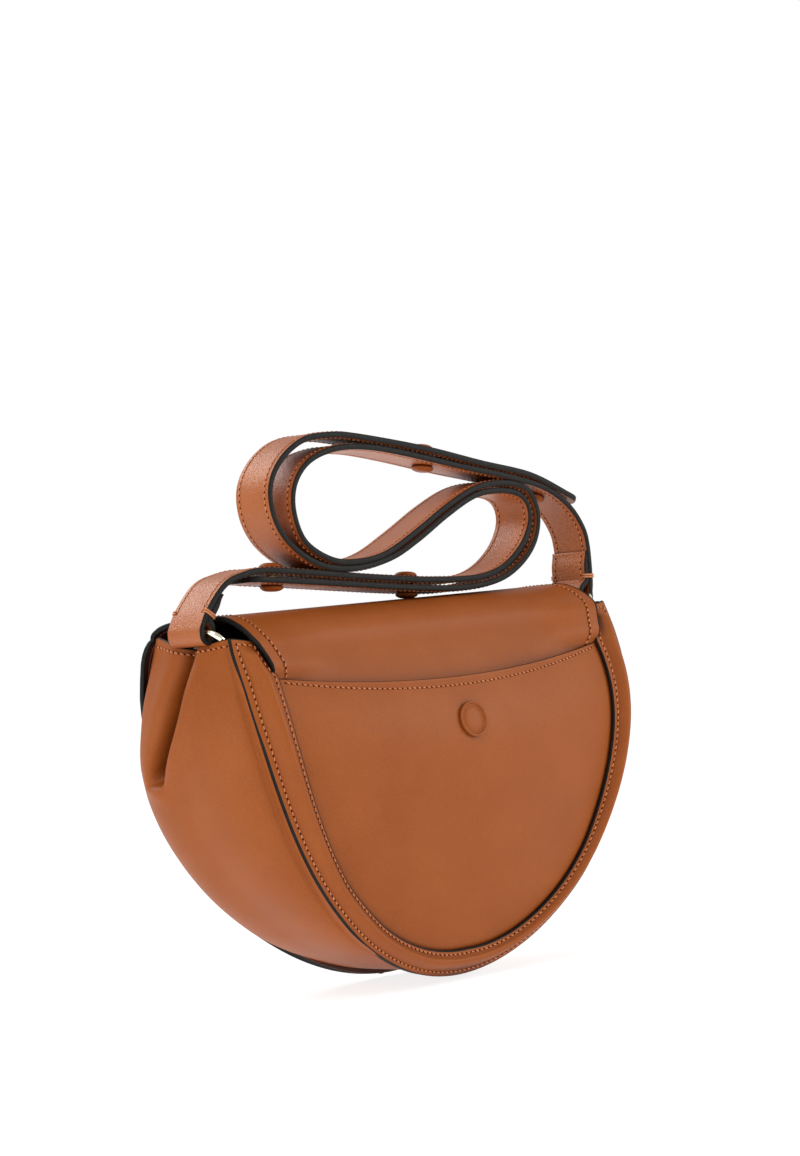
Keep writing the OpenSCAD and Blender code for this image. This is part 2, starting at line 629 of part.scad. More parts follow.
// Heights where a route crosses a place along X, in the order of the route
function crossings(r, x) = [for (i = [0:len(r) - 2]) if ((r[i][0] - x) * (r[i + 1][0] - x) <= 0 && r[i][0] != x)
    let (t = (x - r[i][0]) / (r[i + 1][0] - r[i][0])) [lerp(r[i][1], r[i + 1][1], t), i]];
// The upper and the lower layer at each stud: [height, index in the route]
function first(c) = c[0];
function last(c) = c[len(c) - 1];
function upper_at(k) = let (c = crossings(left_route, stud_x[k])) k < low_studs ? first(c) : last(c);
function lower_at(k) = let (c = crossings(right_route, stud_x[k])) k < low_studs ? last(c) : first(c);
function tilt_at(r, c) = let (d = r[c[1] + 1] - r[c[1]]) atan(d[1] / d[0]);
function stud_tilt(k) = (tilt_at(left_route, upper_at(k)) + tilt_at(right_route, lower_at(k))) / 2;
function stud_span(k) = (upper_at(k)[0] - lower_at(k)[0]) * cos(stud_tilt(k));
// Puts children midway between the two layers, with their +Z across them
module at_stud(k) {
    translate([stud_x[k], 0, (upper_at(k)[0] + lower_at(k)[0]) / 2])
        rotate([0, -stud_tilt(k), 0]) children();
}
// A cap on one layer, above it or below it
module cap_on(r, c, x, below) {
    translate([x, 0, c[0]]) rotate([0, -tilt_at(r, c), 0]) mirror([0, 0, below ? 1 : 0])
        translate([0, 0, strap_t / 2 + cap_seat]) dome_cap(cap_r, cap_h);
}
module snap_caps() {
    color(leather) for (k = [0:len(stud_x) - 1]) {
        cap_on(left_route, upper_at(k), stud_x[k], false);
        cap_on(right_route, lower_at(k), stud_x[k], true);
    }
}
module snap_posts() {
    color(gold) for (k = [0:len(stud_x) - 1]) at_stud(k)
        translate([0, 0, -(stud_span(k) + strap_t) / 2]) cylinder(r = post_r, h = stud_span(k) + strap_t);
}
module strap_left() {
    color(leather) strap_half(left_route, 1);
}
module strap_right() {
    color(leather) strap_half(right_route, -1);
}

back_panel();
pocket_panel();
back_band();
front_panel();
gusset();
lining_back();
lining_front();
lining_gusset();
flap_top();
flap_front();
flap_lining();
flap_snap();
panel_snap();
flap_dome();
pocket_button();
pocket_magnet();
back_magnet();
ring_left();
ring_right();
ring_tab_left();
ring_tab_right();
strap_left();
strap_right();
snap_caps();
snap_posts();
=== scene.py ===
import math

import bmesh
import bpy
import numpy as np
from mathutils import Matrix, Vector


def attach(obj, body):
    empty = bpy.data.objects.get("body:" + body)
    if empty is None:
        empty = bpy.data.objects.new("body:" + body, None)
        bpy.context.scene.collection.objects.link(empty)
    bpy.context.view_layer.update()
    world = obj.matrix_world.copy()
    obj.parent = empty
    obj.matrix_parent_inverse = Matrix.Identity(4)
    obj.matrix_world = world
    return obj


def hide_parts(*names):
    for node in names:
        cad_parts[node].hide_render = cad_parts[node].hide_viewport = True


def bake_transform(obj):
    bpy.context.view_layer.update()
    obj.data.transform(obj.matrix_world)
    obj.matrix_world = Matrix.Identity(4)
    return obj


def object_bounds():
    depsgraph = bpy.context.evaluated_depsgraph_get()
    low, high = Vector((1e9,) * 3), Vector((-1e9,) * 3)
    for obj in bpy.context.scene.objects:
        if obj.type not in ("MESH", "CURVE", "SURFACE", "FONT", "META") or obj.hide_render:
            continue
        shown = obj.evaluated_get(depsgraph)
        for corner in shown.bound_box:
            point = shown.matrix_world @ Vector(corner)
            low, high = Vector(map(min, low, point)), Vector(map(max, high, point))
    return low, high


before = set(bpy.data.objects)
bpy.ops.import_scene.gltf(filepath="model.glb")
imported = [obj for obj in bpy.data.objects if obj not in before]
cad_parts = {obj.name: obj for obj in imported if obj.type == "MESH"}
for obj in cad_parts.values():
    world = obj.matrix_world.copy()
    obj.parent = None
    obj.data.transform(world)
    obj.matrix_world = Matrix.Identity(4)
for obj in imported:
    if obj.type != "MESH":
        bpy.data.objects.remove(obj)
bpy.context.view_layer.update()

# Sizes of the body in millimetres, as in the CAD source
HALF_W, WIDE_Z, TOP_Z, TOP_IN, BELLY = 127.0, 150.0, 174.0, 2.0, 1.78
BACK_D, FRONT_D = 33.7, 46.0
BACK_SHARES = (0.61, 1.12, 0.76, 1.36, 1.05, 0.62)
FRONT_SHARES = (0.54, 1, 0.83, 1.3, 0.93, 0.64)
PANEL_SWELL, POCKET_SWELL, FLAP_SWELL, FADE_Z = 3, 14, 10, 110.0
WALL, WALL_IN, LINING_T, LINING_CLEAR, GAP = 1.6, 3.2, 0.8, 0.8, 0.2
MOUTH_Z, MOUTH_DIP, BUTTON_Z = 156.0, 11.0, 125.0
BAND_T = 2.2
FLAP_T, FLAP_SEAM, FLAP_LINING = 2.2, 0.45, 0.9
UNDER_FLAP = 0.5 + FLAP_LINING + FLAP_SEAM
CREST_Z, FOLD_Z, CREST_HALF_W, CREST_RUN = 185.0, 176.0, 114.0, 3
BACK_TOP, FRONT_TOP, LINING_TOP = 169.0, 173.5, 161
RING_X, RING_Z, RING_H, LEAN = 118.0, 168.8, 13.4, 45.0
STRAP_W, STRAP_T, COIL_W, COIL_H = 24.0, 2.6, 180.0, 84.0
LOOP_R, SLACK = 2.1, 1.3
CURVE, RIM_STEP = 0.9, 0.004

# How far the pocket and the border draw in towards the bottom, and between which heights
TUCK, TUCK_FROM, TUCK_TO = 1.2, 45, 20

# The border's width at shares of the rim, from the bottom to the top
BAND_SHARES = (0, 0.15, 0.3, 0.45, 0.6, 0.72, 0.86, 0.925, 0.963, 1)
BAND_WIDTHS = (14.4, 13.2, 12.0, 11.8, 14.4, 16.2, 18.6, 19.2, 14.8, 12.2)


def lerp(a, b, t):
    return a + (b - a) * t


def clamp(a):
    return np.clip(a, 0.0, 1.0)


def smoothstep(a, b, x):
    t = clamp((np.asarray(x, float) - a) / (b - a))
    return t * t * (3 - 2 * t)


def bezier(c, t):
    c = [np.full_like(t, k, dtype=float) for k in c]
    while len(c) > 1:
        c = [lerp(c[i], c[i + 1], t) for i in range(len(c) - 1)]
    return c[0]


# The outline of the body: s runs from 1 at the top at +X, by 0 at the bottom, to -1
def rim(s):
    s = np.asarray(s, float)
    a = np.minimum(np.abs(s) / CURVE, 1)
    b = clamp((np.abs(s) - CURVE) / (1 - CURVE))
    x = np.sign(s) * (HALF_W * np.sin(a * np.pi / 2) - TOP_IN * b * b)
    low = WIDE_Z * (1 - np.cos(a * np.pi / 2).clip(0) ** (2 / BELLY))
    z = np.where(b > 0, lerp(WIDE_Z, TOP_Z, b), low)
    return x, np.maximum(z, 0)


def rim_in(s, d):
    """The outline drawn in by d."""
    s = np.asarray(s, float)
    x, z = rim(s)
    xa, za = rim(np.maximum(s - RIM_STEP, -1))
    xb, zb = rim(np.minimum(s + RIM_STEP, 1))
    n = np.hypot(xb - xa, zb - za)
    return x - d * (zb - za) / n, z + d * (xb - xa) / n


def rim_at(z):
    return CURVE + (1 - CURVE) * (z - WIDE_Z) / (TOP_Z - WIDE_Z)


def swell(x, z):
    reach = np.minimum(1, (x / HALF_W) ** 2 + (np.maximum(0, (WIDE_Z - z) / WIDE_Z)) ** BELLY)
    return (1 - reach) ** 0.8 * (1 - clamp((z - FADE_Z) / (TOP_Z - FADE_Z)) ** 2)


def back_edge(z):
    return BACK_D * bezier(BACK_SHARES, clamp(z / TOP_Z))


def front_edge(z):
    return FRONT_D * bezier(FRONT_SHARES, clamp(z / TOP_Z))


def tuck(z):
    return TUCK * smoothstep(TUCK_FROM, TUCK_TO, z)


def back_face(x, z):
    return back_edge(z) + PANEL_SWELL * swell(x, z)


def front_face(x, z):
    return front_edge(z) + PANEL_SWELL * swell(x, z)


def pocket_face(x, z):
    return back_edge(z) + GAP + WALL + POCKET_SWELL * swell(x, z) - tuck(z)


def flap_face(x, z):
    return front_edge(z) + UNDER_FLAP + FLAP_T + FLAP_SWELL * swell(x, z)


def band_width(s):
    return np.interp(np.abs(s), BAND_SHARES, BAND_WIDTHS)


# Meshes, whose points are given in millimetres
EDGE_ROUND, WELD = 0.7, 1e-6


def unit(v):
    return v / np.maximum(np.linalg.norm(v, axis=-1, keepdims=True), 1e-9)


def lengths(route):
    """How far along the route each of its points lies."""
    return np.r_[0, np.cumsum(np.linalg.norm(np.diff(route, axis=0), axis=1))]


def mesh_object(name, points, faces, materials=(), index=None):
    me = bpy.data.meshes.new(name)
    me.from_pydata((np.asarray(points, float) / 1000).tolist(), [], [list(map(int, f)) for f in faces])
    me.update()
    for m in materials:
        me.materials.append(m)
    if index is not None:
        me.polygons.foreach_set("material_index", np.asarray(index, np.int32))
    me.polygons.foreach_set("use_smooth", [True] * len(me.polygons))
    o = bpy.data.objects.new(name, me)
    bpy.context.collection.objects.link(o)
    return o


def tidy_normals(o):
    bm = bmesh.new()
    bm.from_mesh(o.data)
    bmesh.ops.remove_doubles(bm, verts=bm.verts, dist=WELD)
    bmesh.ops.recalc_face_normals(bm, faces=bm.faces)
    bm.to_mesh(o.data)
    bm.free()
    o.data.update()


def quads(nu, nv, wrap_v=False):
    """The faces of a grid of points, row by row."""
    U, V = np.meshgrid(np.arange(nu - 1), np.arange(nv if wrap_v else nv - 1), indexing="ij")
    a, d = U * nv + V, U * nv + (V + 1) % nv
    return np.stack([a, a + nv, d + nv, d], -1).reshape(-1, 4)


def sweep(sections):
    """Closed sections, one after the other, with flat ends: points, faces and end faces."""
    n, k = sections.shape[:2]
    first, end = list(range(k)), [(n - 1) * k + i for i in range(k)]
    faces = [list(q) for q in quads(n, k, wrap_v=True)[:, ::-1]]
    return sections.reshape(-1, 3), faces, [first, end[::-1]]


def grid_normals(G):
    return unit(np.cross(np.gradient(G, axis=0), np.gradient(G, axis=1)))


def slab(name, G, t, mats, round_steps=5, bead=0.0, dome=0.7):
    """A sheet of thickness t under the grid G, with a domed edge all round. mats: outer, inner, edge."""
    N = grid_normals(G)
    n, m = G.shape[:2]
    t = np.broadcast_to(t, (n, m))[..., None]
    top = quads(n, m)
    low = top[:, ::-1] + n * m
    b = [(i, 0) for i in range(n)] + [(n - 1, j) for j in range(1, m)]
    b += [(i, m - 1) for i in range(n - 2, -1, -1)] + [(0, j) for j in range(m - 2, 0, -1)]
    b = np.array(b)
    ids = b[:, 0] * m + b[:, 1]
    Pb, Nb, tb = G[b[:, 0], b[:, 1]], N[b[:, 0], b[:, 1]], t[b[:, 0], b[:, 1]]
    out = unit(np.cross(unit(np.roll(Pb, -1, 0) - np.roll(Pb, 1, 0)), Nb))
    inside = G[np.clip(b[:, 0], 1, n - 2), np.clip(b[:, 1], 1, m - 2)]
    out = out * np.sign(np.median(((Pb - inside) * out).sum(-1)))
    rings = []
    for k in range(1, round_steps):
        a = math.pi * k / round_steps
        up = math.copysign(abs(math.cos(a)) ** EDGE_ROUND, math.cos(a))
        lift, push = Nb * (tb / 2 + bead) * up, out * (dome * tb / 2 + bead) * math.sin(a)
        rings.append(Pb - Nb * tb / 2 + lift + push)
    faces, index = [list(f) for f in top] + [list(f) for f in low], [0] * len(top) + [1] * len(low)
    between = [2 * n * m + k * len(ids) + np.arange(len(ids)) for k in range(len(rings))]
    chain = [ids] + between + [ids + n * m]
    for A, B in zip(chain[:-1], chain[1:]):
        for i in range(len(ids)):
            j = (i + 1) % len(ids)
            faces.append([A[i], A[j], B[j], B[i]])
            index.append(2)
    points = np.concatenate([G.reshape(-1, 3), (G - N * t).reshape(-1, 3)] + rings)
    o = mesh_object(name, points, faces, mats, index)
    tidy_normals(o)
    return o


def place(o, body, slot, *nodes):
    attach(o, body)
    if nodes:
        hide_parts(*nodes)


# Materials
NOISE_LOW, NOISE_HIGH = 0.3, 0.7
# Pore scale, and how far the painted shade in creases and recesses reaches
PORE_SCALE, PAINTED_SHADE_REACH = 1500, 0.009
MOTTLE = [(0.25, (0.86, 0.84, 0.82)), (0.7, (1.06, 1.06, 1.05))]
# Painted shade: how dark the leather is made where occlusion finds creases, recesses and edges above it
PAINTED_CREASE_SHADE = [(0.25, (0.42, 0.34, 0.3)), (0.8, (1, 1, 1))]


class Nodes:
    def __init__(self, name):
        self.mat = bpy.data.materials.new(name)
        self.mat.use_nodes = True
        self.tree = self.mat.node_tree
        self.shader = self.tree.nodes["Principled BSDF"]

    def new(self, kind, **inputs):
        n = self.tree.nodes.new(kind)
        for k, v in inputs.items():
            n.inputs[k.replace("_", " ")].default_value = v
        return n

    def link(self, a, b):
        self.tree.links.new(a, b)

    def coords(self):
        return self.new("ShaderNodeTexCoord").outputs["Object"]

    def noise(self, scale, detail=3.0, rough=0.5):
        n = self.new("ShaderNodeTexNoise", Scale=scale, Detail=detail, Roughness=rough)
        self.link(self.coords(), n.inputs["Vector"])
        return n.outputs["Fac"]

    def cells(self, scale):
        n = self.new("ShaderNodeTexVoronoi", Scale=scale)
        self.link(self.coords(), n.inputs["Vector"])
        return n.outputs["Distance"]

    def wave(self, scale, distortion, direction="X"):
        n = self.new("ShaderNodeTexWave", Scale=scale, Distortion=distortion)
        n.bands_direction = direction
        self.link(self.coords(), n.inputs["Vector"])
        return n.outputs["Fac"]

    def ramp(self, fac, stops):
        n = self.new("ShaderNodeValToRGB")
        e = n.color_ramp.elements
        while len(e) < len(stops):
            e.new(0.5)
        for el, (p, c) in zip(e, stops):
            el.position, el.color = p, (*c, 1)
        self.link(fac, n.inputs["Fac"])
        return n.outputs["Color"]

    def mapped(self, fac, a, b, c, d):
        n = self.new("ShaderNodeMapRange")
        for i, v in enumerate((a, b, c, d)):
            n.inputs[i + 1].default_value = v
        self.link(fac, n.inputs["Value"])
        return n.outputs["Result"]

    def mix(self, fac, a, b, mode="MIX"):
        n = self.new("ShaderNodeMix")
        n.data_type, n.blend_type = "RGBA", mode
        if isinstance(fac, float):
            n.inputs["Factor"].default_value = fac
        else:
            self.link(fac, n.inputs["Factor"])
        self.link(a, n.inputs[6])
        self.link(b, n.inputs[7])
        return n.outputs[2]

    def add(self, a, b, k):
        """a plus k times b."""
        n = self.new("ShaderNodeMath")
        n.operation = "MULTIPLY_ADD"
        self.link(b, n.inputs[0])
        n.inputs[1].default_value = k
        self.link(a, n.inputs[2])
        return n.outputs[0]

    def bump(self, height, distance):
        n = self.new("ShaderNodeBump", Distance=distance)
        self.link(height, n.inputs["Height"])
        self.link(n.outputs["Normal"], self.shader.inputs["Normal"])

    def tones(self, scale, detail, low, high):
        """A base colour that drifts between two shades."""
        shade = self.ramp(self.noise(scale, detail), [(NOISE_LOW, low), (NOISE_HIGH, high)])
        self.link(shade, self.shader.inputs["Base Color"])

    def rough(self, fac, low, high):
        self.link(self.mapped(fac, NOISE_LOW, NOISE_HIGH, low, high), self.shader.inputs["Roughness"])

    def set(self, **inputs):
        for k, v in inputs.items():
            self.shader.inputs[k.replace("_", " ")].default_value = v


def linear(*rgb):
    """A colour of 0 to 255 in sRGB, as the shader's linear shares."""
    return tuple(c / 12.92 if c <= 0.04045 else ((c + 0.055) / 1.055) ** 2.4 for c in (v / 255 for v in rgb))


def leather(name, colours, rough=(0.4, 0.54), grain=0.00007, coat=0.0, spec=0.2, tint=(1, 1, 1, 1)):
    """Leather in three shades: clouded, with fine grain and pores, and darkened by painted shade in its
    creases, recesses and under edges.
    """
    n = Nodes(name)
    base = n.ramp(n.noise(28, 4, 0.6), list(zip((0.3, 0.52, 0.75), colours)))
    fine = n.noise(PORE_SCALE * 0.9, 2, 0.6)
    # Painted shade: an occlusion node darkens the colour in creases, recesses and under edges
    near = n.new("ShaderNodeAmbientOcclusion", Distance=PAINTED_SHADE_REACH)
    near.samples = 6
    shade = n.ramp(near.outputs["AO"], PAINTED_CREASE_SHADE)
    clouded = n.mix(1.0, base, n.ramp(fine, MOTTLE), "MULTIPLY")
    n.link(n.mix(1.0, clouded, shade, "MULTIPLY"), n.shader.inputs["Base Color"])
    n.rough(fine, *rough)
    n.bump(n.add(fine, n.cells(PORE_SCALE), -0.7), grain)
    n.set(Specular_IOR_Level=spec, Specular_Tint=tint, Coat_Weight=coat, Coat_Roughness=0.28)
    return n.mat


def painted_edge(name):
    n = Nodes(name)
    n.tones(500, 3, linear(17, 16, 15), linear(27, 26, 24))
    n.rough(n.noise(900, 2), 0.45, 0.6)
    n.bump(n.noise(700, 3), 0.00006)
    n.set(Specular_IOR_Level=0.16)
    return n.mat


def thread(name):
    n = Nodes(name)
    n.tones(400, 2, linear(184, 104, 58), linear(208, 132, 82))
    n.bump(n.wave(900, 1.5), 0.00008)
    n.set(Roughness=0.6)
    return n.mat


# Painted shade: dark discs stand for the shade inside the stitch holes
def painted_hole_shade(name):
    n = Nodes(name)
    n.tones(600, 2, linear(66, 27, 12), linear(92, 41, 19))
    n.set(Roughness=0.8, Specular_IOR_Level=0.0)
    return n.mat


def woven(name):
    n = Nodes(name)
    n.tones(60, 4, linear(62, 32, 22), linear(88, 48, 33))
    n.bump(n.add(n.wave(420, 0.6), n.wave(420, 0.6, "Z"), 1.0), 0.00008)
    n.set(Roughness=0.85, Sheen_Weight=0.2)
    return n.mat


def metal(name, low, high, rough):
    n = Nodes(name)
    n.tones(90, 4, low, high)
    n.rough(n.noise(600, 3), *rough)
    n.bump(n.noise(1400, 2), 0.00001)
    n.set(Metallic=1.0)
    return n.mat


tan = leather("tan_leather", (linear(144, 73, 23), linear(149, 77, 26), linear(154, 81, 29)))
tan_strap = leather("strap_leather", (linear(156, 80, 34), linear(163, 87, 39), linear(168, 93, 44)),
                    (0.34, 0.5), grain=0.00022, coat=0.06, spec=0.5, tint=(1, 0.7, 0.5, 1))
tan_dark = leather("flap_inside", (linear(60, 24, 16), linear(78, 32, 21), linear(92, 40, 27)), (0.5, 0.65))
paint = painted_edge("edge_paint")
yarn = thread("stitch_thread")
hole_shade = painted_hole_shade("stitch_hole_shade")
cloth = woven("body_lining")
gold = metal("pale_gold", linear(243, 234, 208), linear(252, 247, 230), (0.06, 0.14))
gold_dome = metal("gold_stud", linear(205, 168, 105), linear(226, 196, 138), (0.16, 0.28))
steel = metal("nickel_steel", linear(165, 166, 168), linear(196, 197, 200), (0.25, 0.4))


# Stitches along a path: threads that dip into the leather, and dark discs of painted shade in the holes they
# go into
PER_STITCH, PITCH, THREAD_GAP, SLANT = 8, 3.0, 0.36, 0.22
THREAD_FLAT, THREAD_TAPER, THREAD_SIDES = 0.8, 0.45, 6
THREAD_ARCH = np.array([-0.35, 0.8, 1.0, 0.8, -0.35])[:, None]
HOLE_LONG, HOLE_WIDE, HOLE_UP, HOLE_DOME, HOLE_SIDES = 0.72, 0.52, 0.04, 0.13, 8
SEAM_THREAD = {"r": 0.42, "lift": 0.24}


def resample(P, N, pitch):
    d = lengths(P)
    count = max(2, int(round(d[-1] / pitch)))
    t = np.linspace(0, d[-1], count * PER_STITCH + 1)
    Q = np.stack([np.interp(t, d, P[:, i]) for i in range(3)], -1)
    M = unit(np.stack([np.interp(t, d, N[:, i]) for i in range(3)], -1))
    return Q, M, count


class Seam:
    def __init__(self):
        self.v, self.f, self.i, self.n = [], [], [], 0

    def tube(self, C, N, r):
        """One thread of radius r along C, flatter across N."""
        B = unit(np.cross(unit(np.gradient(C, axis=0)), N))
        n, k = len(C), THREAD_SIDES
        a = np.arange(k) * 2 * math.pi / k
        taper = np.ones(n)
        taper[0] = taper[-1] = THREAD_TAPER
        turn = np.cos(a)[None, :, None] * B[:, None] + THREAD_FLAT * np.sin(a)[None, :, None] * N[:, None]
        self.v.append((C[:, None] + r * taper[:, None, None] * turn).reshape(-1, 3))
        f = [list(q + self.n) for q in quads(n, k, wrap_v=True)]
        f += [[self.n + i for i in range(k)][::-1], [self.n + (n - 1) * k + i for i in range(k)]]
        self.f += f
        self.i += [0] * len(f)
        self.n += n * k

    def row(self, P, N, r, lift):
        """A row of stitches along P on a face whose normals are N."""
        Q, M, count = resample(np.asarray(P, float), np.asarray(N, float), PITCH)
        T = unit(np.gradient(Q, axis=0))
        B = unit(np.cross(T, M))
        for c in range(count):
            ends = np.array([c + THREAD_GAP / 2, c + 1 - THREAD_GAP / 2]) * PER_STITCH
            at = np.linspace(*ends, len(THREAD_ARCH))
            i = at.astype(int).clip(0, len(Q) - 2)
            w = (at - i)[:, None]
            C = Q[i] * (1 - w) + Q[i + 1] * w
            side = np.linspace(-1, 1, len(at))[:, None] * SLANT
            up = unit(M[i])
            self.tube(C + up * lift * THREAD_ARCH + B[i] * side, up, r)
        for c in range(count + 1):
            i = min(c * PER_STITCH, len(Q) - 1)
            self.spot(Q[i] + M[i] * HOLE_UP, M[i], T[i])

    def spot(self, p, n, t):
        """One dark disc of painted shade in a hole at p, longer along t, domed along n."""
        k = HOLE_SIDES
        a = (np.arange(k) * 2 * math.pi / k)[:, None]
        ring = p + HOLE_LONG * np.cos(a) * t + HOLE_WIDE * np.sin(a) * np.cross(n, t)
        self.v.append(np.concatenate([ring, [p + n * HOLE_DOME]]))
        self.f += [[self.n + i, self.n + (i + 1) % k, self.n + k] for i in range(k)]
        self.i += [1] * k
        self.n += k + 1

    def build(self, name):
        return mesh_object(name, np.concatenate(self.v), self.f, (yarn, hole_shade), self.i)


# Plates: polar rings over a closed outline, with a painted bead round the edge
HUB_SHARE, RING_POWER, BEAD_STEPS, PAINT_FROM = 0.6, 1.25, 8, 2
LOOP_POINTS, MOUTH_POINTS, PROBE = 240, 60, 0.2


def plate(name, loop, face, thickness, side, mats, rings=44, bead=0.0):
    """A wall whose outer face is y = side * face(x, z) within the loop. mats: outer, inner, edge."""
    k = len(loop)
    centre = np.array([0.0, loop[:, 1].max() * HUB_SHARE])
    share = (1 - (1 - np.linspace(0, 1, rings)) ** RING_POWER)[1:]
    X = centre[0] + share[:, None] * (loop[:, 0] - centre[0])
    Z = centre[1] + share[:, None] * (loop[:, 1] - centre[1])
    Y = face(X, Z)
    outer = np.stack([X, side * Y, Z], -1)
    inner = np.stack([X, side * (Y - thickness), Z], -1)
    d = np.roll(loop, -1, 0) - np.roll(loop, 1, 0)
    n = unit(np.stack([d[:, 1], -d[:, 0]], -1))
    if ((loop - centre) * n).sum() < 0:
        n = -n
    r = thickness / 2 + bead
    mid = Y[-1] - thickness / 2
    rolled = []
    for a in np.linspace(0, math.pi, BEAD_STEPS)[1:-1]:
        p = loop + n * r * math.sin(a)
        rolled.append(np.stack([p[:, 0], side * (mid + r * math.cos(a)), p[:, 1]], -1))
    hub = [[centre[0], side * float(face(centre[:1], centre[1:])[0]), centre[1]]]
    hub.append([centre[0], hub[0][1] - side * thickness, centre[1]])
    m = len(share)
    P = np.concatenate([outer.reshape(-1, 3), inner.reshape(-1, 3)] + rolled + [hub])
    q = quads(m, k, wrap_v=True)
    faces = [list(f) for f in q] + [list(f[::-1] + m * k) for f in q]
    index = [0] * len(q) + [1] * len(q)
    h = len(P) - 2
    for i in range(k):
        j = (i + 1) % k
        faces += [[h, i, j], [h + 1, m * k + j, m * k + i]]
        index += [0, 1]
    last, low = (m - 1) * k, (2 * m - 1) * k
    chain = [last] + [2 * m * k + i * k for i in range(len(rolled))] + [low]
    for step, (A, B) in enumerate(zip(chain[:-1], chain[1:])):
        for i in range(k):
            j = (i + 1) % k
            faces.append([A + i, B + i, B + j, A + j])
            index.append(2 if step >= PAINT_FROM else 0)
    o = mesh_object(name, P, faces, mats, index)
    tidy_normals(o)
    return o


def body_loop(inwards, top, dip=0.0):
    """The outline drawn in, closed at the height top by a mouth that dips in its middle."""
    end = rim_at(top)
    x, z = rim_in(np.linspace(end, -end, LOOP_POINTS), inwards)
    t = np.linspace(-1, 1, MOUTH_POINTS)[1:-1]
    mouth = np.stack([t * x[0], top - dip * (1 - t ** 2)], -1)
    return np.concatenate([np.stack([x, z], -1), mouth])


def face_normal(face, x, z):
    """The normal of y = face(x, z), towards +Y."""
    fx = (face(x + PROBE, z) - face(x - PROBE, z)) / (2 * PROBE)
    fz = (face(x, z + PROBE) - face(x, z - PROBE)) / (2 * PROBE)
    return unit(np.stack([-fx, np.ones_like(fx), -fz], -1))


def cosine(n):
    """Shares from 0 to 1, denser towards both ends."""
    return (1 - np.cos(np.linspace(0, np.pi, n))) / 2


# The back wall, the pocket on it and the padded border round both
EDGE_BEAD = 0.15
back_wall = plate("back_wall", body_loop(WALL_IN, BACK_TOP), back_face, WALL, 1, (tan, cloth, paint))
place(back_wall, "bag", "leather", "back_panel")
pocket_loop = body_loop(WALL_IN, MOUTH_Z, dip=MOUTH_DIP)
pocket = plate("pocket_wall", pocket_loop, pocket_face, WALL, 1, (tan, tan, paint), bead=EDGE_BEAD)
place(pocket, "bag", "leather", "pocket_panel")

# The border's rows of stitches and rounded middle, as shares of its width, and the height of its forms
OUTER_ROW, INNER_ROW, TURN = 0.16, 0.89, 0.991
RIDGE_FROM, RIDGE_TO, RIDGE_LOW, RIDGE_HIGH = 0.24, 0.77, 2.8, 4.4
PAD, BAND_CLEAR, OUTER_SINK, INNER_SINK, SHOULDER = 0.6, 0.35, 0.4, 0.3, 0.8
EDGE_IN, EDGE_TOP, EDGE_BOTTOM = 1.2, 1.4, 1.3
W_STEP, S_STEP = 0.01, 0.002


def ridge(s, w):
    u = clamp((w - RIDGE_FROM) / (RIDGE_TO - RIDGE_FROM))
    high = lerp(RIDGE_LOW, RIDGE_HIGH, smoothstep(0.35, 0.65, np.abs(s)))
    return high * smoothstep(0.988, 0.97, np.abs(s)) * (1 - np.abs(2 * u - 1) ** 2.2) ** 0.85


def band_pad(s, w):
    return PAD * smoothstep(0.1, 0.5, w) * smoothstep(1.02, 0.8, w) * smoothstep(1.02, 0.8, np.abs(s))


def band_point(s, w):
    """The border's outer face at share s of the rim and share w of its width."""
    high, low = smoothstep(0.88, 1, np.abs(s)), smoothstep(0.45, 0.15, np.abs(s))
    x, z = rim_in(s, lerp(EDGE_IN - EDGE_TOP * high + EDGE_BOTTOM * low, band_width(s), w))
    shoulder = SHOULDER * smoothstep(118, 140, z) * smoothstep(178, 165, z)
    base = lerp(back_edge(z) + GAP + WALL - tuck(z) - shoulder, pocket_face(x, z), clamp(2 * w))
    y = base + BAND_CLEAR + BAND_T + band_pad(s, w) + ridge(s, w)
    y = y - OUTER_SINK * smoothstep(0.1, 0, w) - INNER_SINK * smoothstep(0.93, 1, w)
    return np.stack([x, y, z], -1)


def band_normal(s, w):
    a = band_point(s, w)
    n = unit(np.cross(band_point(s, w + W_STEP) - a, band_point(s + S_STEP, w) - a))
    return n * np.sign(n[:, 1:2])


S, W = np.meshgrid(np.linspace(1, -1, 460), cosine(45), indexing="ij")
outer_share = lerp(0.55 + 0.4 * smoothstep(0.91, 0.97, np.abs(S)), 1, smoothstep(0, 0.2, W))
inner_share = lerp(1, 0.7, smoothstep(0.85, 1, W))
band_thick = (BAND_T + band_pad(S, W)) * outer_share * inner_share
band = slab("border_band", band_point(S, W), band_thick, (tan, tan, paint), bead=0.12)
place(band, "bag", "leather", "back_band")

POCKET_ROW_X, POCKET_ROW_DOWN, MOUTH_X = 103, 3.2, 108
seam = Seam()
run, across = np.linspace(TURN, -TURN, 700), np.linspace(OUTER_ROW, INNER_ROW, 60)
s_path = np.concatenate([run, np.full(len(across), -TURN), run[::-1], np.full(len(across), TURN)])
w_path = np.concatenate([np.full(len(run), OUTER_ROW), across, np.full(len(run), INNER_ROW), across[::-1]])
seam.row(band_point(s_path, w_path), band_normal(s_path, w_path), **SEAM_THREAD)
x = np.linspace(-POCKET_ROW_X, POCKET_ROW_X, 300)
z = MOUTH_Z - MOUTH_DIP * (1 - (x / MOUTH_X) ** 2) - POCKET_ROW_DOWN
seam.row(np.stack([x, pocket_face(x, z), z], -1), face_normal(pocket_face, x, z), r=0.4, lift=0.2)
place(seam.build("back_stitches"), "bag", "leather")


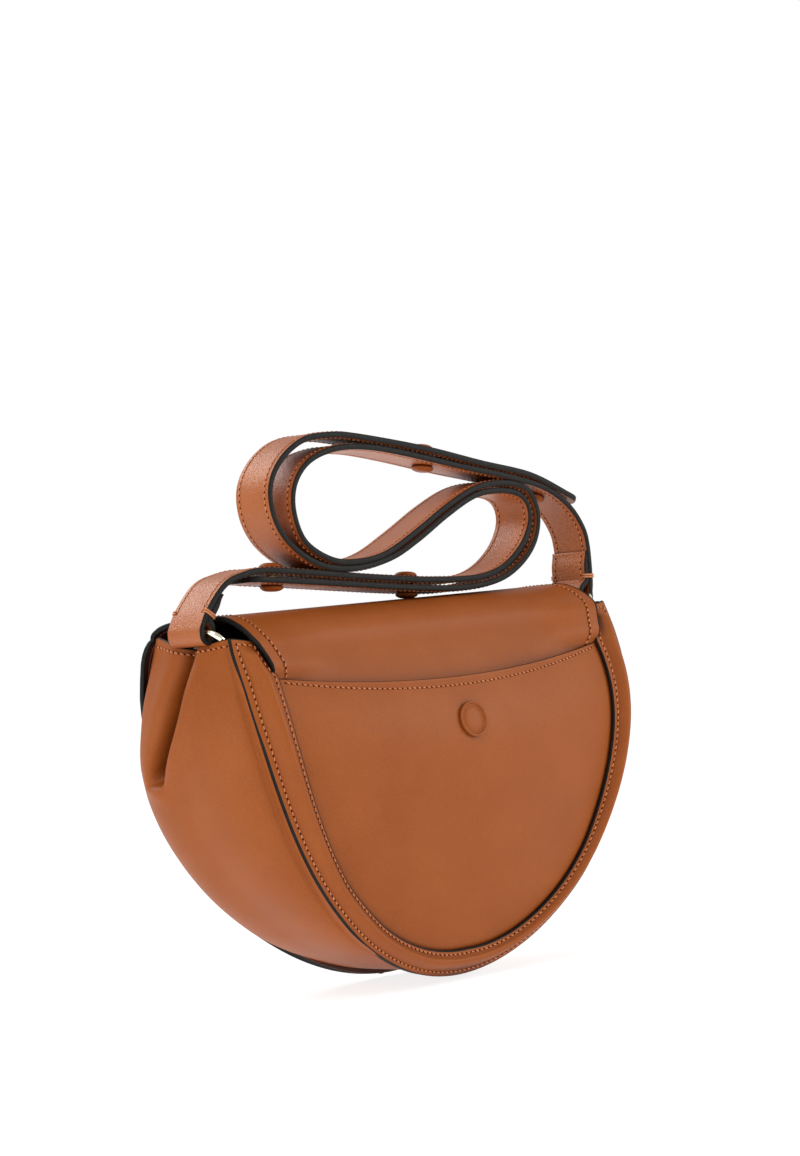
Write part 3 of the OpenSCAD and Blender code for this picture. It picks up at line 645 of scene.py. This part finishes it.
# The gusset, with its two lobes and the pleat between them
GROW, GROW_TURN, GROW_LEFT = 12, 0.55, 0.3
GROW_MORE = (75, 90, 104, 119, 133, 148, 158, 165, 174), (0, 0.6, 1.2, 0.8, -0.3, -1.3, -2.0, -2.2, -1.5)
GUSSET_IN, FLANGE, BACK_OVER, FRONT_OVER = 0.8, 1.8, 3.8, 2.0
PLEAT_Z, PLEAT_RUN, PLEAT_OPEN, PLEAT_DEEP = 111.0, 68, 6, 16.0
LOBES, LIP, FRONT_FULL = 2.0, 2.2, 2.0
CORNER_Z, CORNER_RUN, CORNER_DIP, FRONT_RISE = 150, 24, 3.5, 3.2
SOLE_LIFT, SOLE_Z, FLOOR_CLEAR = 4.2, 34, 0.3
GUSSET_ROW, GRID_STEP = 0.988, 0.003


def gusset_grow(z):
    """How far the gusset's middle stands out of the outline."""
    share = z / TOP_Z
    up = GROW * np.sin(np.pi / 2 * clamp((share - 0.05) / 0.5)) ** 1.5
    down = GROW * lerp(1, GROW_LEFT, clamp((share - GROW_TURN) / 0.45) ** 2)
    return np.where(share < GROW_TURN, up, down) + np.interp(z, *GROW_MORE)


def gusset_point(s, v, inwards=GUSSET_IN):
    """The gusset's outer face at share s of the rim and share v of the way from the back to the front."""
    z = rim(s)[1]
    y0, y1 = back_edge(z) - FLANGE, FLANGE - front_edge(z)
    depth = y0 - y1
    y = lerp(y0 + BACK_OVER, y1 - FRONT_OVER, v)
    v = clamp((y0 - y) / depth)
    t, top = clamp((z - PLEAT_Z) / PLEAT_RUN), clamp((z - CORNER_Z) / CORNER_RUN)
    valley = lerp(0.8, 0.5, t) - 0.065 * smoothstep(0, 0.5, t)
    d = (v - valley) * depth
    w = np.where(d < 0, d / lerp(3.4, 3.0, t), d / lerp(5.4, 3.4, t))
    pleat = PLEAT_DEEP * np.exp(-w ** 2) * clamp((z - PLEAT_Z) / PLEAT_OPEN) ** 0.5 * lerp(1, 0.5, top ** 0.7)
    lobes = LOBES * (np.exp(-((d + 9) / 6) ** 2) + np.exp(-((d - 13) / 7) ** 2)) * smoothstep(108, 130, z)
    lip = LIP * np.exp(-((z - PLEAT_Z + 2.5) / 3.2) ** 2 - ((d - 1.5) / 7.5) ** 2)
    front = FRONT_FULL * smoothstep(0.5, 0.86, v) * smoothstep(8, 60, z) * smoothstep(140, 118, z)
    p = lerp(2.0, 3.6, v)
    arch = (1 - np.abs(2 * v - 1) ** p) ** (1 / p)
    out = (gusset_grow(z) + front) * arch - pleat + (lobes + lip) * np.sin(np.pi * v)
    px, pz = rim_in(s, inwards - out)
    dip = CORNER_DIP * top ** 2 * (1 - np.abs(2 * v - 1) ** 1.4)
    pz = pz - dip + FRONT_RISE * top ** 2 * smoothstep(0.45, 1, v)
    pz = np.maximum(pz + SOLE_LIFT * smoothstep(SOLE_Z, 0, z), FLOOR_CLEAR)
    return np.stack([px, y, pz], -1)


def gusset_normal(s, v):
    a = gusset_point(np.clip(s + GRID_STEP, -1, 1), v) - gusset_point(np.clip(s - GRID_STEP, -1, 1), v)
    b = gusset_point(s, np.clip(v + GRID_STEP, 0, 1)) - gusset_point(s, np.clip(v - GRID_STEP, 0, 1))
    return unit(np.cross(a, b))


i = np.linspace(-1, 1, 481)
s_rows, v_cols = np.sign(i) * (1 - (1 - np.abs(i)) ** 1.5), cosine(129)
S, V = np.meshgrid(s_rows, v_cols, indexing="ij")
gusset = slab("pleated_gusset", gusset_point(S, V), WALL, (tan, cloth, paint), bead=EDGE_BEAD)
place(gusset, "bag", "leather", "gusset")

seam = Seam()
for side in (1, -1):
    v = np.linspace(0.06, 0.94, 240)
    s = np.full_like(v, side * GUSSET_ROW)
    N = gusset_normal(s, v)
    seam.row(gusset_point(s, v), N * np.sign(N[:, :1] * side), **SEAM_THREAD)
place(seam.build("gusset_stitches"), "bag", "leather")

front_wall = plate("front_wall", body_loop(WALL_IN, FRONT_TOP), front_face, WALL, -1, (tan, cloth, paint))
place(front_wall, "bag", "leather", "front_panel")


# The linings of the compartment
LINING_IN, LINING_SEW, LINING_SHARE = 3, 0.6, 0.93


def back_lining(x, z):
    return back_face(x, z) - WALL - LINING_CLEAR


def front_lining(x, z):
    return front_face(x, z) - WALL - LINING_CLEAR


for name, face, side, node in (("lining_behind", back_lining, 1, "lining_back"),
                               ("lining_before", front_lining, -1, "lining_front")):
    o = plate(name, body_loop(LINING_IN, LINING_TOP), face, LINING_T, side, (cloth, cloth, cloth), rings=24)
    place(o, "bag", "body_lining", node)
S, V = np.meshgrid(s_rows * LINING_SHARE, lerp(0.1, 0.92, v_cols[::2]), indexing="ij")
inner = gusset_point(S, V, GUSSET_IN + WALL + LINING_SEW)
place(slab("lining_between", inner, LINING_T, (cloth, cloth, cloth)), "bag", "body_lining", "lining_gusset")


# The flap: one sheet from its tail in the pocket, over the crest and down the front
TAIL_FROM, TAIL_TOP, TAIL_CLEAR, TAIL_LIFT = 135.0, 169.0, 0.3, 6.0
TAIL_WIDTHS = ((135, 145, 150, 156, 161, 165, 169, 174, 180, 185),
               (98, 103, 106, 108.4, 109.6, 110.6, 112.2, 114.6, 114.6, 114))
FOLD_WIDTHS = (3, 12, 18, 22, 24.8, 27.5, 29.7, 31.3), (114, 115, 116.5, 118.2, 120.2, 121.6, 122.5, 123.9)
FOLD_POWER = 0.62
FRONT_WIDER = ((0, 20, 45, 70, 105, 122, 132, 138, 146, 154, 160, 168, 172, 176),
               (-2, -2.2, -0.8, 0, -0.6, -2.0, -3.4, -3.6, -1.8, 0.2, 1.0, 1.0, 0.0, -1.2))
FRONT_MORE = (150, 162, 170, 176), (0.0, 0.6, 1.2, 0.3)
FRONT_LIFT, LEAST_HALF_W, COLUMNS = 2.8, 1.5, 121
LINING_EDGE, SEAM_EDGE = 2.0, 6.5
SEAM_ROW, LINING_ROW, TOP_ROW = 6, 36, 40
LINING_END = 0.0085


def tail_up(z):
    """How far the tail's corners curl away from the back."""
    return TAIL_LIFT * float(smoothstep(151.5, 161, z) * smoothstep(183, 168, z))


def flap_rows():
    """Rows down the flap: (y, z, ny, nz, half width, part). The tail and the front have y of their own."""
    rows = []
    for z in np.linspace(TAIL_FROM, TAIL_TOP, 14)[:-1]:
        rows.append((0, z, 1, 0, np.interp(z, *TAIL_WIDTHS), "tail"))
    back_run = back_edge(np.array([TAIL_TOP]))[0] + TAIL_CLEAR - CREST_RUN
    rise = CREST_Z - FLAP_T - TAIL_TOP
    for a in np.radians(np.linspace(0, 90, 22)[1:]):
        y, z = CREST_RUN + back_run * math.cos(a), TAIL_TOP + rise * math.sin(a)
        rows.append((y, z, math.cos(a), math.sin(a), np.interp(z, *TAIL_WIDTHS), "bend"))
    rows.append((0, TAIL_TOP + rise, 0, 1, CREST_HALF_W, "bend"))
    front_run = front_edge(np.array([FOLD_Z]))[0] + UNDER_FLAP - CREST_RUN
    up = CREST_Z - FLAP_T - FOLD_Z
    for a in np.radians(np.linspace(90, 0, 34)):
        y = -CREST_RUN - front_run * math.cos(a) ** FOLD_POWER
        z = FOLD_Z + up * max(math.sin(a), 0) ** FOLD_POWER
        rows.append((y, z, -math.cos(a), math.sin(a), np.interp(-y, *FOLD_WIDTHS), "bend"))
    for i in np.linspace(1, 0, 120)[1:]:
        x, rim_z = (float(k[0]) for k in rim(np.array([1 - (1 - i) ** 1.5])))
        top = clamp((rim_z - CORNER_Z) / CORNER_RUN)
        z = lerp(rim_z, FOLD_Z, top) + FRONT_LIFT * (1 - rim_z / TOP_Z)
        w = max(x + np.interp(rim_z + 2 * top, *FRONT_WIDER), LEAST_HALF_W)
        rows.append((0, z, -1, 0, w, "front"))
    return rows


def flap_grid(offset, edge=0.0):
    """The flap's points at an offset from its inner face, with its outline drawn in by edge."""
    c = np.linspace(-1, 1, COLUMNS)
    c = np.sign(c) * (1 - (1 - np.abs(c)) ** 1.3)
    G = []
    for y, z, ny, nz, w, part in flap_rows():
        x = c * max(w - edge, 1.0)
        zz = np.full_like(x, z)
        up = tail_up(z) * smoothstep(0.55, 1, np.abs(c))
        if part == "tail":
            G.append(np.stack([x, back_face(x, zz) + TAIL_CLEAR + offset + up, zz], -1))
        elif part == "front":
            zz = zz + edge * smoothstep(60, 0, z)
            yy = -(flap_face(x, zz) - FLAP_T + offset + np.interp(zz, *FRONT_MORE))
            G.append(np.stack([x, yy, zz], -1))
        else:
            up = up if y > 0 else 0 * x
            G.append(np.stack([x, y + ny * offset + up, zz + nz * offset], -1))
    return np.array(G)


def hinged(o, slot, *nodes):
    """A piece of the flap: hides the CAD nodes it replaces and bakes its place into its points."""
    if nodes:
        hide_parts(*nodes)
    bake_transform(o)


def round_path(G):
    """Down the flap's +X side and up the other, without the last rows."""
    left, right = G[SEAM_ROW:, -1], G[SEAM_ROW:, 0]
    return np.concatenate([left[:-3], right[-3::-1]])


outside = flap_grid(FLAP_T)
flap = slab("flap_sheet", outside, FLAP_T, (tan, tan_dark, paint), round_steps=8, bead=0.35, dome=0.9)
# The inside below the lining is painted as the edge is
for f in flap.data.polygons:
    if f.material_index == 1 and f.center.z < LINING_END:
        f.material_index = 2
hinged(flap, "leather", "flap_top", "flap_front")
inside = flap_grid(-FLAP_SEAM, edge=LINING_EDGE)[LINING_ROW:]
lining = slab("flap_lining_sheet", inside, FLAP_LINING, (tan_dark, tan_dark, tan_dark))
hinged(lining, "flap_lining", "flap_lining")

seam = Seam()
inset = flap_grid(FLAP_T, edge=SEAM_EDGE)
N = grid_normals(inset)
N = N * np.sign(N[TOP_ROW, COLUMNS // 2, 2])
seam.row(round_path(inset), round_path(N), **SEAM_THREAD)
hinged(seam.build("flap_stitches"), "leather")


# The strap halves: routes in the X-Z plane, as in the CAD source
LEFT = [
    [0.634, 0.162], [0.568, 0.208], [0.489, 0.222], [0.333, 0.188], [0.183, 0.149], [0.039, 0.116],
    [-0.111, 0.087], [-0.272, 0.077], [-0.378, 0.122], [-0.461, 0.237], [-0.506, 0.381], [-0.5, 0.5],
    [-0.456, 0.562], [-0.372, 0.58], [-0.289, 0.553], [-0.183, 0.456], [-0.067, 0.328], [0.039, 0.235],
    [0.167, 0.192], [0.292, 0.224], [0.392, 0.345], [0.444, 0.5], [0.45, 0.679], [0.406, 0.827],
    [0.322, 0.935], [0.222, 0.959], [0.122, 0.942], [-0.122, 0.852], [-0.333, 0.75], [-0.528, 0.66],
    [-0.672, 0.529]]
RIGHT = [
    [-0.733, 0.214], [-0.717, 0.333], [-0.667, 0.465], [-0.578, 0.578], [-0.439, 0.659], [-0.25, 0.739],
    [-0.039, 0.834], [0.1, 0.88], [0.211, 0.878], [0.306, 0.815], [0.362, 0.694], [0.375, 0.536],
    [0.343, 0.36], [0.252, 0.248], [0.15, 0.229], [0.05, 0.266], [-0.067, 0.378], [-0.183, 0.503],
    [-0.289, 0.5945], [-0.372, 0.624], [-0.456, 0.614], [-0.517, 0.559], [-0.542, 0.417], [-0.517, 0.258],
    [-0.45, 0.13], [-0.356, 0.05], [-0.222, 0.025], [-0.056, 0.047], [0.139, 0.09], [0.333, 0.136],
    [0.489, 0.17]]
BAR_X = RING_X + RING_H * math.sin(math.radians(LEAN))
BAR_Z = RING_Z + RING_H * math.cos(math.radians(LEAN))
LOOP_MID = LOOP_R + STRAP_T / 2
COIL_CLEAR, TAIL_GAP, PLY, SKIVED, SKIVE_RUN = 0.7, 3.0, 2.95, 1.2, 8
TAIL_LONG, CLOSE_FROM, CLOSE_TO, TACK = 20, 1.5, 5.8, 8.0
STRAP_STEP, STRAP_ROUND, STRAP_CROWN, TIP_LONG, TIP_R, LEAST_TIP = 0.9, 0.9, 0.03, 9.0, 6.0, 0.3
ROW_IN, ROW_END, ROW_START = 3.0, 8, 1.8
TACK_THREAD, TACK_APART, TACK_OUT, TACK_SINK, TACK_ROUND, TACK_IN = 0.5, 0.55, 1.09, 0.6, 0.85, 2.4


def coil(table):
    return [[a * COIL_W, CREST_Z + COIL_CLEAR + b * COIL_H] for a, b in table]


def spline(p, steps=10):
    p = np.asarray(p, float)
    out = []
    for i in range(len(p) - 1):
        a, b, c, d = p[max(0, i - 1)], p[i], p[i + 1], p[min(len(p) - 1, i + 2)]
        for t in np.arange(steps) / steps:
            curve = (2 * a - 5 * b + 4 * c - d) * t * t + (3 * b - a - 3 * c + d) * t ** 3
            out.append((2 * b + (c - a) * t + curve) / 2)
    out.append(p[-1])
    return np.array(out)


def tangents(route):
    """Directions along a flat route, and across it."""
    T = unit(np.gradient(route, axis=0))
    return T, np.stack([-T[:, 1], T[:, 0]], -1)


def strap_route(side, start, table):
    """The free end, round the bar and along the winding, as (x, z, thickness)."""
    main = spline(start + coil(table))
    d = lengths(main)
    k = int(np.argmax(d >= TAIL_LONG))
    t, n = tangents(main)
    n = n * (1 if side > 0 else -1)
    turn_from = np.array([side * (BAR_X - LOOP_MID), BAR_Z + SLACK])
    thick = lerp(SKIVED, PLY, smoothstep(0, SKIVE_RUN, d[k] - d[:k + 1]))
    beside = main[:k + 1] + n[:k + 1] * (TAIL_GAP - (PLY - thick) / 2)[:, None]
    tail = []
    for i in range(k, 0, -1):
        tail.append(lerp(turn_from + (0, d[i]), beside[i], float(smoothstep(CLOSE_FROM, CLOSE_TO, d[i]))))
    a = np.linspace(0, np.pi, 16)[1:-1]
    loop = np.stack([side * (BAR_X - LOOP_MID * np.cos(a)), BAR_Z - SLACK - LOOP_MID * np.sin(a)], -1)
    route = np.concatenate([tail, [turn_from, [turn_from[0], BAR_Z - SLACK]], loop,
                            [[side * (BAR_X + LOOP_MID), BAR_Z - SLACK]], main])
    plies = np.full(len(route), PLY)
    plies[:len(tail)] = thick[:0:-1]
    tack = int(np.argmax(d >= TACK))
    return np.column_stack([route, plies]), len(route) - len(main), (main[tack], n[tack], t[tack])


def even(route, step):
    d = lengths(route)
    t = np.linspace(0, d[-1], int(d[-1] / step))
    return np.stack([np.interp(t, d, route[:, i]) for i in range(route.shape[1])], -1)


def strap_profile(half):
    """Outline of a section of thickness 1 as (across, up, slot)."""
    flat = half - STRAP_ROUND
    pts = [(y * flat, 0.5 + STRAP_CROWN * (1 - y * y), 0) for y in np.linspace(-1, 1, 9)]
    for a in np.radians(np.linspace(76, -76, 13)):
        pts.append((flat + STRAP_ROUND * math.cos(a) ** EDGE_ROUND, math.sin(a) / 2, 1))
    return pts + [(-y, -u, k) for y, u, k in pts]


def ribbon(name, route, half, t, mats, tip=0.0):
    """A flat band of thickness t along route. Its last end is rounded by tip. mats: faces, edges."""
    section = strap_profile(half)
    t = np.broadcast_to(t, len(route))
    N = tangents(route)[1]
    d = lengths(route)
    left = d[-1] - d
    width = np.full(len(route), half)
    near = left < tip
    width[near] = half - tip + np.sqrt(np.maximum(tip * tip - (tip - left[near]) ** 2, LEAST_TIP))
    rings = []
    for p, n, w, thick in zip(route, N, width, t):
        rings.append([[p[0] + n[0] * u * thick, y * w / half, p[1] + n[1] * u * thick]
                      for y, u, k in section])
    k = len(section)
    P, faces, caps = sweep(np.array(rings))
    kinds = [section[j][2] if section[j][2] == section[(j + 1) % k][2] else 0 for j in range(k)]
    index = [kinds[i % k] for i in range(len(faces))] + [1, 1]
    o = mesh_object(name, P, faces + caps, mats, index)
    tidy_normals(o)
    return o


def tack_path(c, n, y):
    """One thread over the strap's edge on the side y, from face to face."""
    path, out = [], []
    for a in np.radians(np.linspace(-90, 90, 9)):
        q = c + n * (TAIL_GAP / 2 + (TAIL_GAP + PLY) / 2 * TACK_OUT * math.sin(a))
        path.append([q[0], y * (STRAP_W / 2 - TACK_SINK + TACK_ROUND * math.cos(a) ** 0.5), q[1]])
        out.append([n[0] * math.sin(a), y * math.cos(a), n[1] * math.sin(a)])
    inner = y * (STRAP_W / 2 - TACK_IN)
    path = [[path[0][0], inner, path[0][2]], *path, [path[-1][0], inner, path[-1][2]]]
    return np.array(path), np.array([out[0], *out, out[-1]])


def strap_piece(name, node, side, start, table):
    route, first, (p, n, t) = strap_route(side, start, table)
    d = lengths(route[:, :2])
    sewn_from, tail_end = d[first] + TACK, d[first] - LOOP_MID * np.pi - 2 * SLACK
    end = route[-1] + np.r_[unit(route[-1, :2] - route[-2, :2]) * TIP_LONG, 0]
    route = even(np.concatenate([route, [end]]), STRAP_STEP)
    thick, route = route[:, 2], route[:, :2]
    place(ribbon(name, route, STRAP_W / 2, thick, (tan_strap, paint), TIP_R), "strap", "strap_leather", node)
    N = tangents(route)[1]
    at = np.arange(len(route)) * STRAP_STEP
    seam = Seam()
    for face in (1, -1):
        q = route + N * face * thick[:, None] / 2
        M = np.stack([N[:, 0] * face, np.zeros(len(q)), N[:, 1] * face], -1)
        for y in (-1, 1):
            P = np.stack([q[:, 0], np.full(len(q), y * (STRAP_W / 2 - ROW_IN)), q[:, 1]], -1)
            for use in ((at > sewn_from) & (at < at[-1] - ROW_END),
                        (at > ROW_START) & (at < tail_end - TACK)):
                seam.row(P[use], M[use], r=0.38, lift=0.12)
    for y in (-1, 1):
        for along in (-TACK_APART, TACK_APART):
            seam.tube(*tack_path(p + t * along, n, y), TACK_THREAD)
    place(seam.build(name + "_stitches"), "strap", "strap_leather")
    return route


left_start = [[BAR_X + LOOP_MID, BAR_Z + SLACK],
              [BAR_X - LOOP_R, BAR_Z + SLACK + 2 * LOOP_MID + LOOP_R]]
right_start = [[-BAR_X - LOOP_MID, BAR_Z + SLACK],
               [-BAR_X - LOOP_MID - LOOP_R / 2, BAR_Z + 2 * LOOP_MID + SLACK]]
left_route = strap_piece("strap_left_half", "strap_left", 1, left_start, LEFT)
right_route = strap_piece("strap_right_half", "strap_right", -1, right_start, RIGHT)


# Round leather pieces, turned from a profile of (radius, height)
BUTTON = ((0, 1.75), (2.5, 1.68), (4.7, 1.36), (6.1, 0.86), (6.9, 0.72), (7.4, 1.2),
          (7.75, 1.66), (8.15, 1.72), (8.48, 1.35), (8.55, 0.7), (8.35, 0.1), (7.6, -0.3), (0, -0.3))
CAP_TOP = (0, 0.12), (2.2, 0.08), (3.9, -0.25), (5.0, -0.85), (5.55, -1.5)
CAP_FOOT = (5.5, 0.5), (5.0, 0.05), (4.2, -0.25), (0, -0.25)
CAP_OVER, PROFILE_STEPS, BUTTON_SIDES, CAP_SIDES = 0.3, 4, 72, 56


def turned(points, centre, normal, count):
    profile = spline(points, PROFILE_STEPS)
    n = unit(np.asarray(normal, float))
    a = unit(np.cross(n, (0.31, 1.0, 0.22)))
    b = np.cross(n, a)
    ang = np.arange(count) * 2 * math.pi / count
    ring = np.cos(ang)[:, None] * a + np.sin(ang)[:, None] * b
    rows = np.stack([centre + r * ring + h * n for r, h in profile[1:-1]])
    P = np.concatenate([rows.reshape(-1, 3), [centre + profile[0][1] * n, centre + profile[-1][1] * n]])
    faces = [list(f) for f in quads(len(rows), count, wrap_v=True)]
    m = len(rows) * count
    for i in range(count):
        j = (i + 1) % count
        faces += [[m, j, i], [m + 1, m - count + i, m - count + j]]
    return P, faces


def islands(o):
    """The separate solids of a CAD node, each as its points in millimetres."""
    P = np.array([v.co[:] for v in o.data.vertices]) * 1000
    key, inverse = np.unique(P.round(3), axis=0, return_inverse=True)
    inverse = inverse.ravel()
    E = inverse[np.array([e.vertices[:] for e in o.data.edges])]
    label = np.arange(len(key))
    while True:
        low = np.minimum(label[E[:, 0]], label[E[:, 1]])
        new = label.copy()
        np.minimum.at(new, E[:, 0], low)
        np.minimum.at(new, E[:, 1], low)
        if (new == label).all():
            return [key[label == k] for k in np.unique(label)]
        label = new


spot = np.array([0.0, float(pocket_face(0.0, BUTTON_Z)), BUTTON_Z])
normal = face_normal(pocket_face, np.array([0.0]), np.array([BUTTON_Z]))[0]
o = mesh_object("covered_button", *turned(BUTTON, spot, normal, BUTTON_SIDES), (tan,))
tidy_normals(o)
place(o, "bag", "covered_stud", "pocket_button")

P, faces, count = [], [], 0
routes = np.concatenate([left_route, right_route])
for k in islands(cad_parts["snap_caps"]):
    mid = (k.min(0) + k.max(0)) / 2
    n = np.linalg.svd(k - k.mean(0), full_matrices=False)[2][2]
    near = routes[np.argmin(np.linalg.norm(routes - mid[[0, 2]], axis=1))]
    away = mid - np.array([near[0], mid[1], near[1]])
    n = n * np.sign(away @ n)
    low, high = (k @ n).min(), (k @ n).max()
    top = high - low + CAP_OVER
    cap = [(r, top + h) for r, h in CAP_TOP] + list(CAP_FOOT)
    p, f = turned(cap, mid + n * (low - mid @ n), n, CAP_SIDES)
    P.append(p)
    faces += [[i + count for i in q] for q in f]
    count += len(p)
o = mesh_object("covered_caps", np.concatenate(P), faces, (tan,))
tidy_normals(o)
place(o, "strap", "covered_stud", "snap_caps")

# The leather tabs that hold the rings
TAB_R, TAB_TURN, TAB_DOWN, TAB_HALF_W, TAB_T, TAB_STEP = 2.6, 1.45, 18, 9.0, 1.5, 0.5
for side, name, node in ((1, "tab_left", "ring_tab_left"), (-1, "tab_right", "ring_tab_right")):
    a = np.linspace(0, np.pi * TAB_TURN, 22)
    turn = np.stack([side * (RING_X + TAB_R * np.cos(a)), RING_Z + TAB_R * np.sin(a)], -1)
    route = even(np.concatenate([[[side * (RING_X + TAB_R), RING_Z - TAB_DOWN]], turn]), TAB_STEP)
    place(ribbon(name, route, TAB_HALF_W, TAB_T, (tan, paint)), "bag", "leather", node)

# Nodes that keep their CAD shape take a finish
for node, mat in (("ring_left", gold), ("ring_right", gold), ("flap_dome", gold_dome),
                  ("snap_posts", gold_dome), ("flap_snap", steel), ("panel_snap", steel),
                  ("pocket_magnet", steel), ("back_magnet", steel)):
    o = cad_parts[node]
    o.data.materials.clear()
    o.data.materials.append(mat)

low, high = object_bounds()

# The floor: white to the camera, grey to the light
FLOOR, FLOOR_LIGHT, FLOOR_SEEN = 6000, 0.5, 0.82
corners = [[-FLOOR, -FLOOR, 0], [FLOOR, -FLOOR, 0], [FLOOR, FLOOR, 0], [-FLOOR, FLOOR, 0]]
floor = mesh_object("floor", corners, [[0, 1, 2, 3]])
n = Nodes("floor")
is_camera = n.new("ShaderNodeLightPath").outputs["Is Camera Ray"]
patches = n.noise(0.6, 1)
pale = n.ramp(patches, [(0.0, (0.84, 0.84, 0.84)), (1.0, (0.86, 0.86, 0.86))])
dim = n.ramp(patches, [(0.0, (0.34, 0.34, 0.34)), (1.0, (0.35, 0.35, 0.35))])
n.link(n.mix(is_camera, pale, dim), n.shader.inputs["Base Color"])
n.link(n.mapped(is_camera, 0, 1, FLOOR_LIGHT, FLOOR_SEEN), n.shader.inputs["Emission Strength"])
n.set(Roughness=0.9, Specular_IOR_Level=0.0, Emission_Color=(1, 1, 1, 1))
floor.data.materials.append(n.mat)

# The camera, solved from the photograph: turn, tilt and roll in degrees, place in metres, and the focal
# length and the aim's distance from the middle in the photograph's pixels
CAMERA_TURN, CAMERA_TILT, CAMERA_ROLL = 43.5, 0.9, 5.3
CAMERA_AT = (1.10123, 1.16046, 0.19013)
FOCAL, AIM_X, AIM_Y, FRAME_H, SENSOR, FIT = 3280.0, 6.2, -62.8, 1156, 36, 1.0001
a, tilt, roll = (math.radians(k) for k in (180 - CAMERA_TURN, CAMERA_TILT, CAMERA_ROLL))
towards = np.array([math.sin(a) * math.cos(tilt), -math.cos(a) * math.cos(tilt), math.sin(tilt)])
level = np.array([math.cos(a), math.sin(a), 0.0])
over = np.cross(towards, level)
R = math.cos(roll) * level - math.sin(roll) * over
U = math.sin(roll) * level + math.cos(roll) * over
axis = unit(-towards + R * (AIM_X / FOCAL) - U * (AIM_Y / FOCAL))
right = unit(np.cross(axis, U))
up = np.cross(right, axis)
cam = bpy.data.cameras.new("camera")
cam.sensor_width = SENSOR
cam.lens = SENSOR * FOCAL / FRAME_H * FIT
camera = bpy.data.objects.new("camera", cam)
M = Matrix(((right[0], up[0], -axis[0]), (right[1], up[1], -axis[1]), (right[2], up[2], -axis[2]))).to_4x4()
M.translation = Vector(CAMERA_AT)
camera.matrix_world = M
bpy.context.collection.objects.link(camera)
bpy.context.scene.camera = camera

# The world: white to the camera, soft light to the object
WORLD_LIGHT, WORLD_SEEN = 0.62, 1.0
world = bpy.data.worlds.new("world")
bpy.context.scene.world = world
world.use_nodes = True
nodes, links = world.node_tree.nodes, world.node_tree.links
sky, path, level = nodes["Background"], nodes.new("ShaderNodeLightPath"), nodes.new("ShaderNodeMapRange")
sky.inputs["Color"].default_value = (1, 1, 1, 1)
level.inputs["To Min"].default_value = WORLD_LIGHT
level.inputs["To Max"].default_value = WORLD_SEEN
links.new(path.outputs["Is Camera Ray"], level.inputs["Value"])
links.new(level.outputs["Result"], sky.inputs["Strength"])

# Name, place, size, power and aim of each lamp
LAMPS = (("key", (0.9, 0.5, 1.3), (0.6, 0.6), 5.6, (0, 0, 0.12)),
         ("rim", (0.15, -1.1, 1.0), (0.9, 0.5), 8, (0, 0, 0.22)),
         ("low", (1.15, 0.1, 0.1), (0.9, 0.25), 2.0, (0.1, 0, 0.05)),
         ("fill", (-1.2, 1.3, 0.7), (0.9, 0.9), 11, (0, 0, 0.12)))
for name, at, size, power, target in LAMPS:
    light = bpy.data.lights.new(name, "AREA")
    light.shape, light.size, light.size_y, light.energy = "RECTANGLE", size[0], size[1], power
    o = bpy.data.objects.new(name, light)
    o.location = at
    o.rotation_euler = (Vector(target) - Vector(at)).to_track_quat("-Z", "Y").to_euler()
    bpy.context.collection.objects.link(o)

bpy.context.scene.view_settings.view_transform = "Standard"
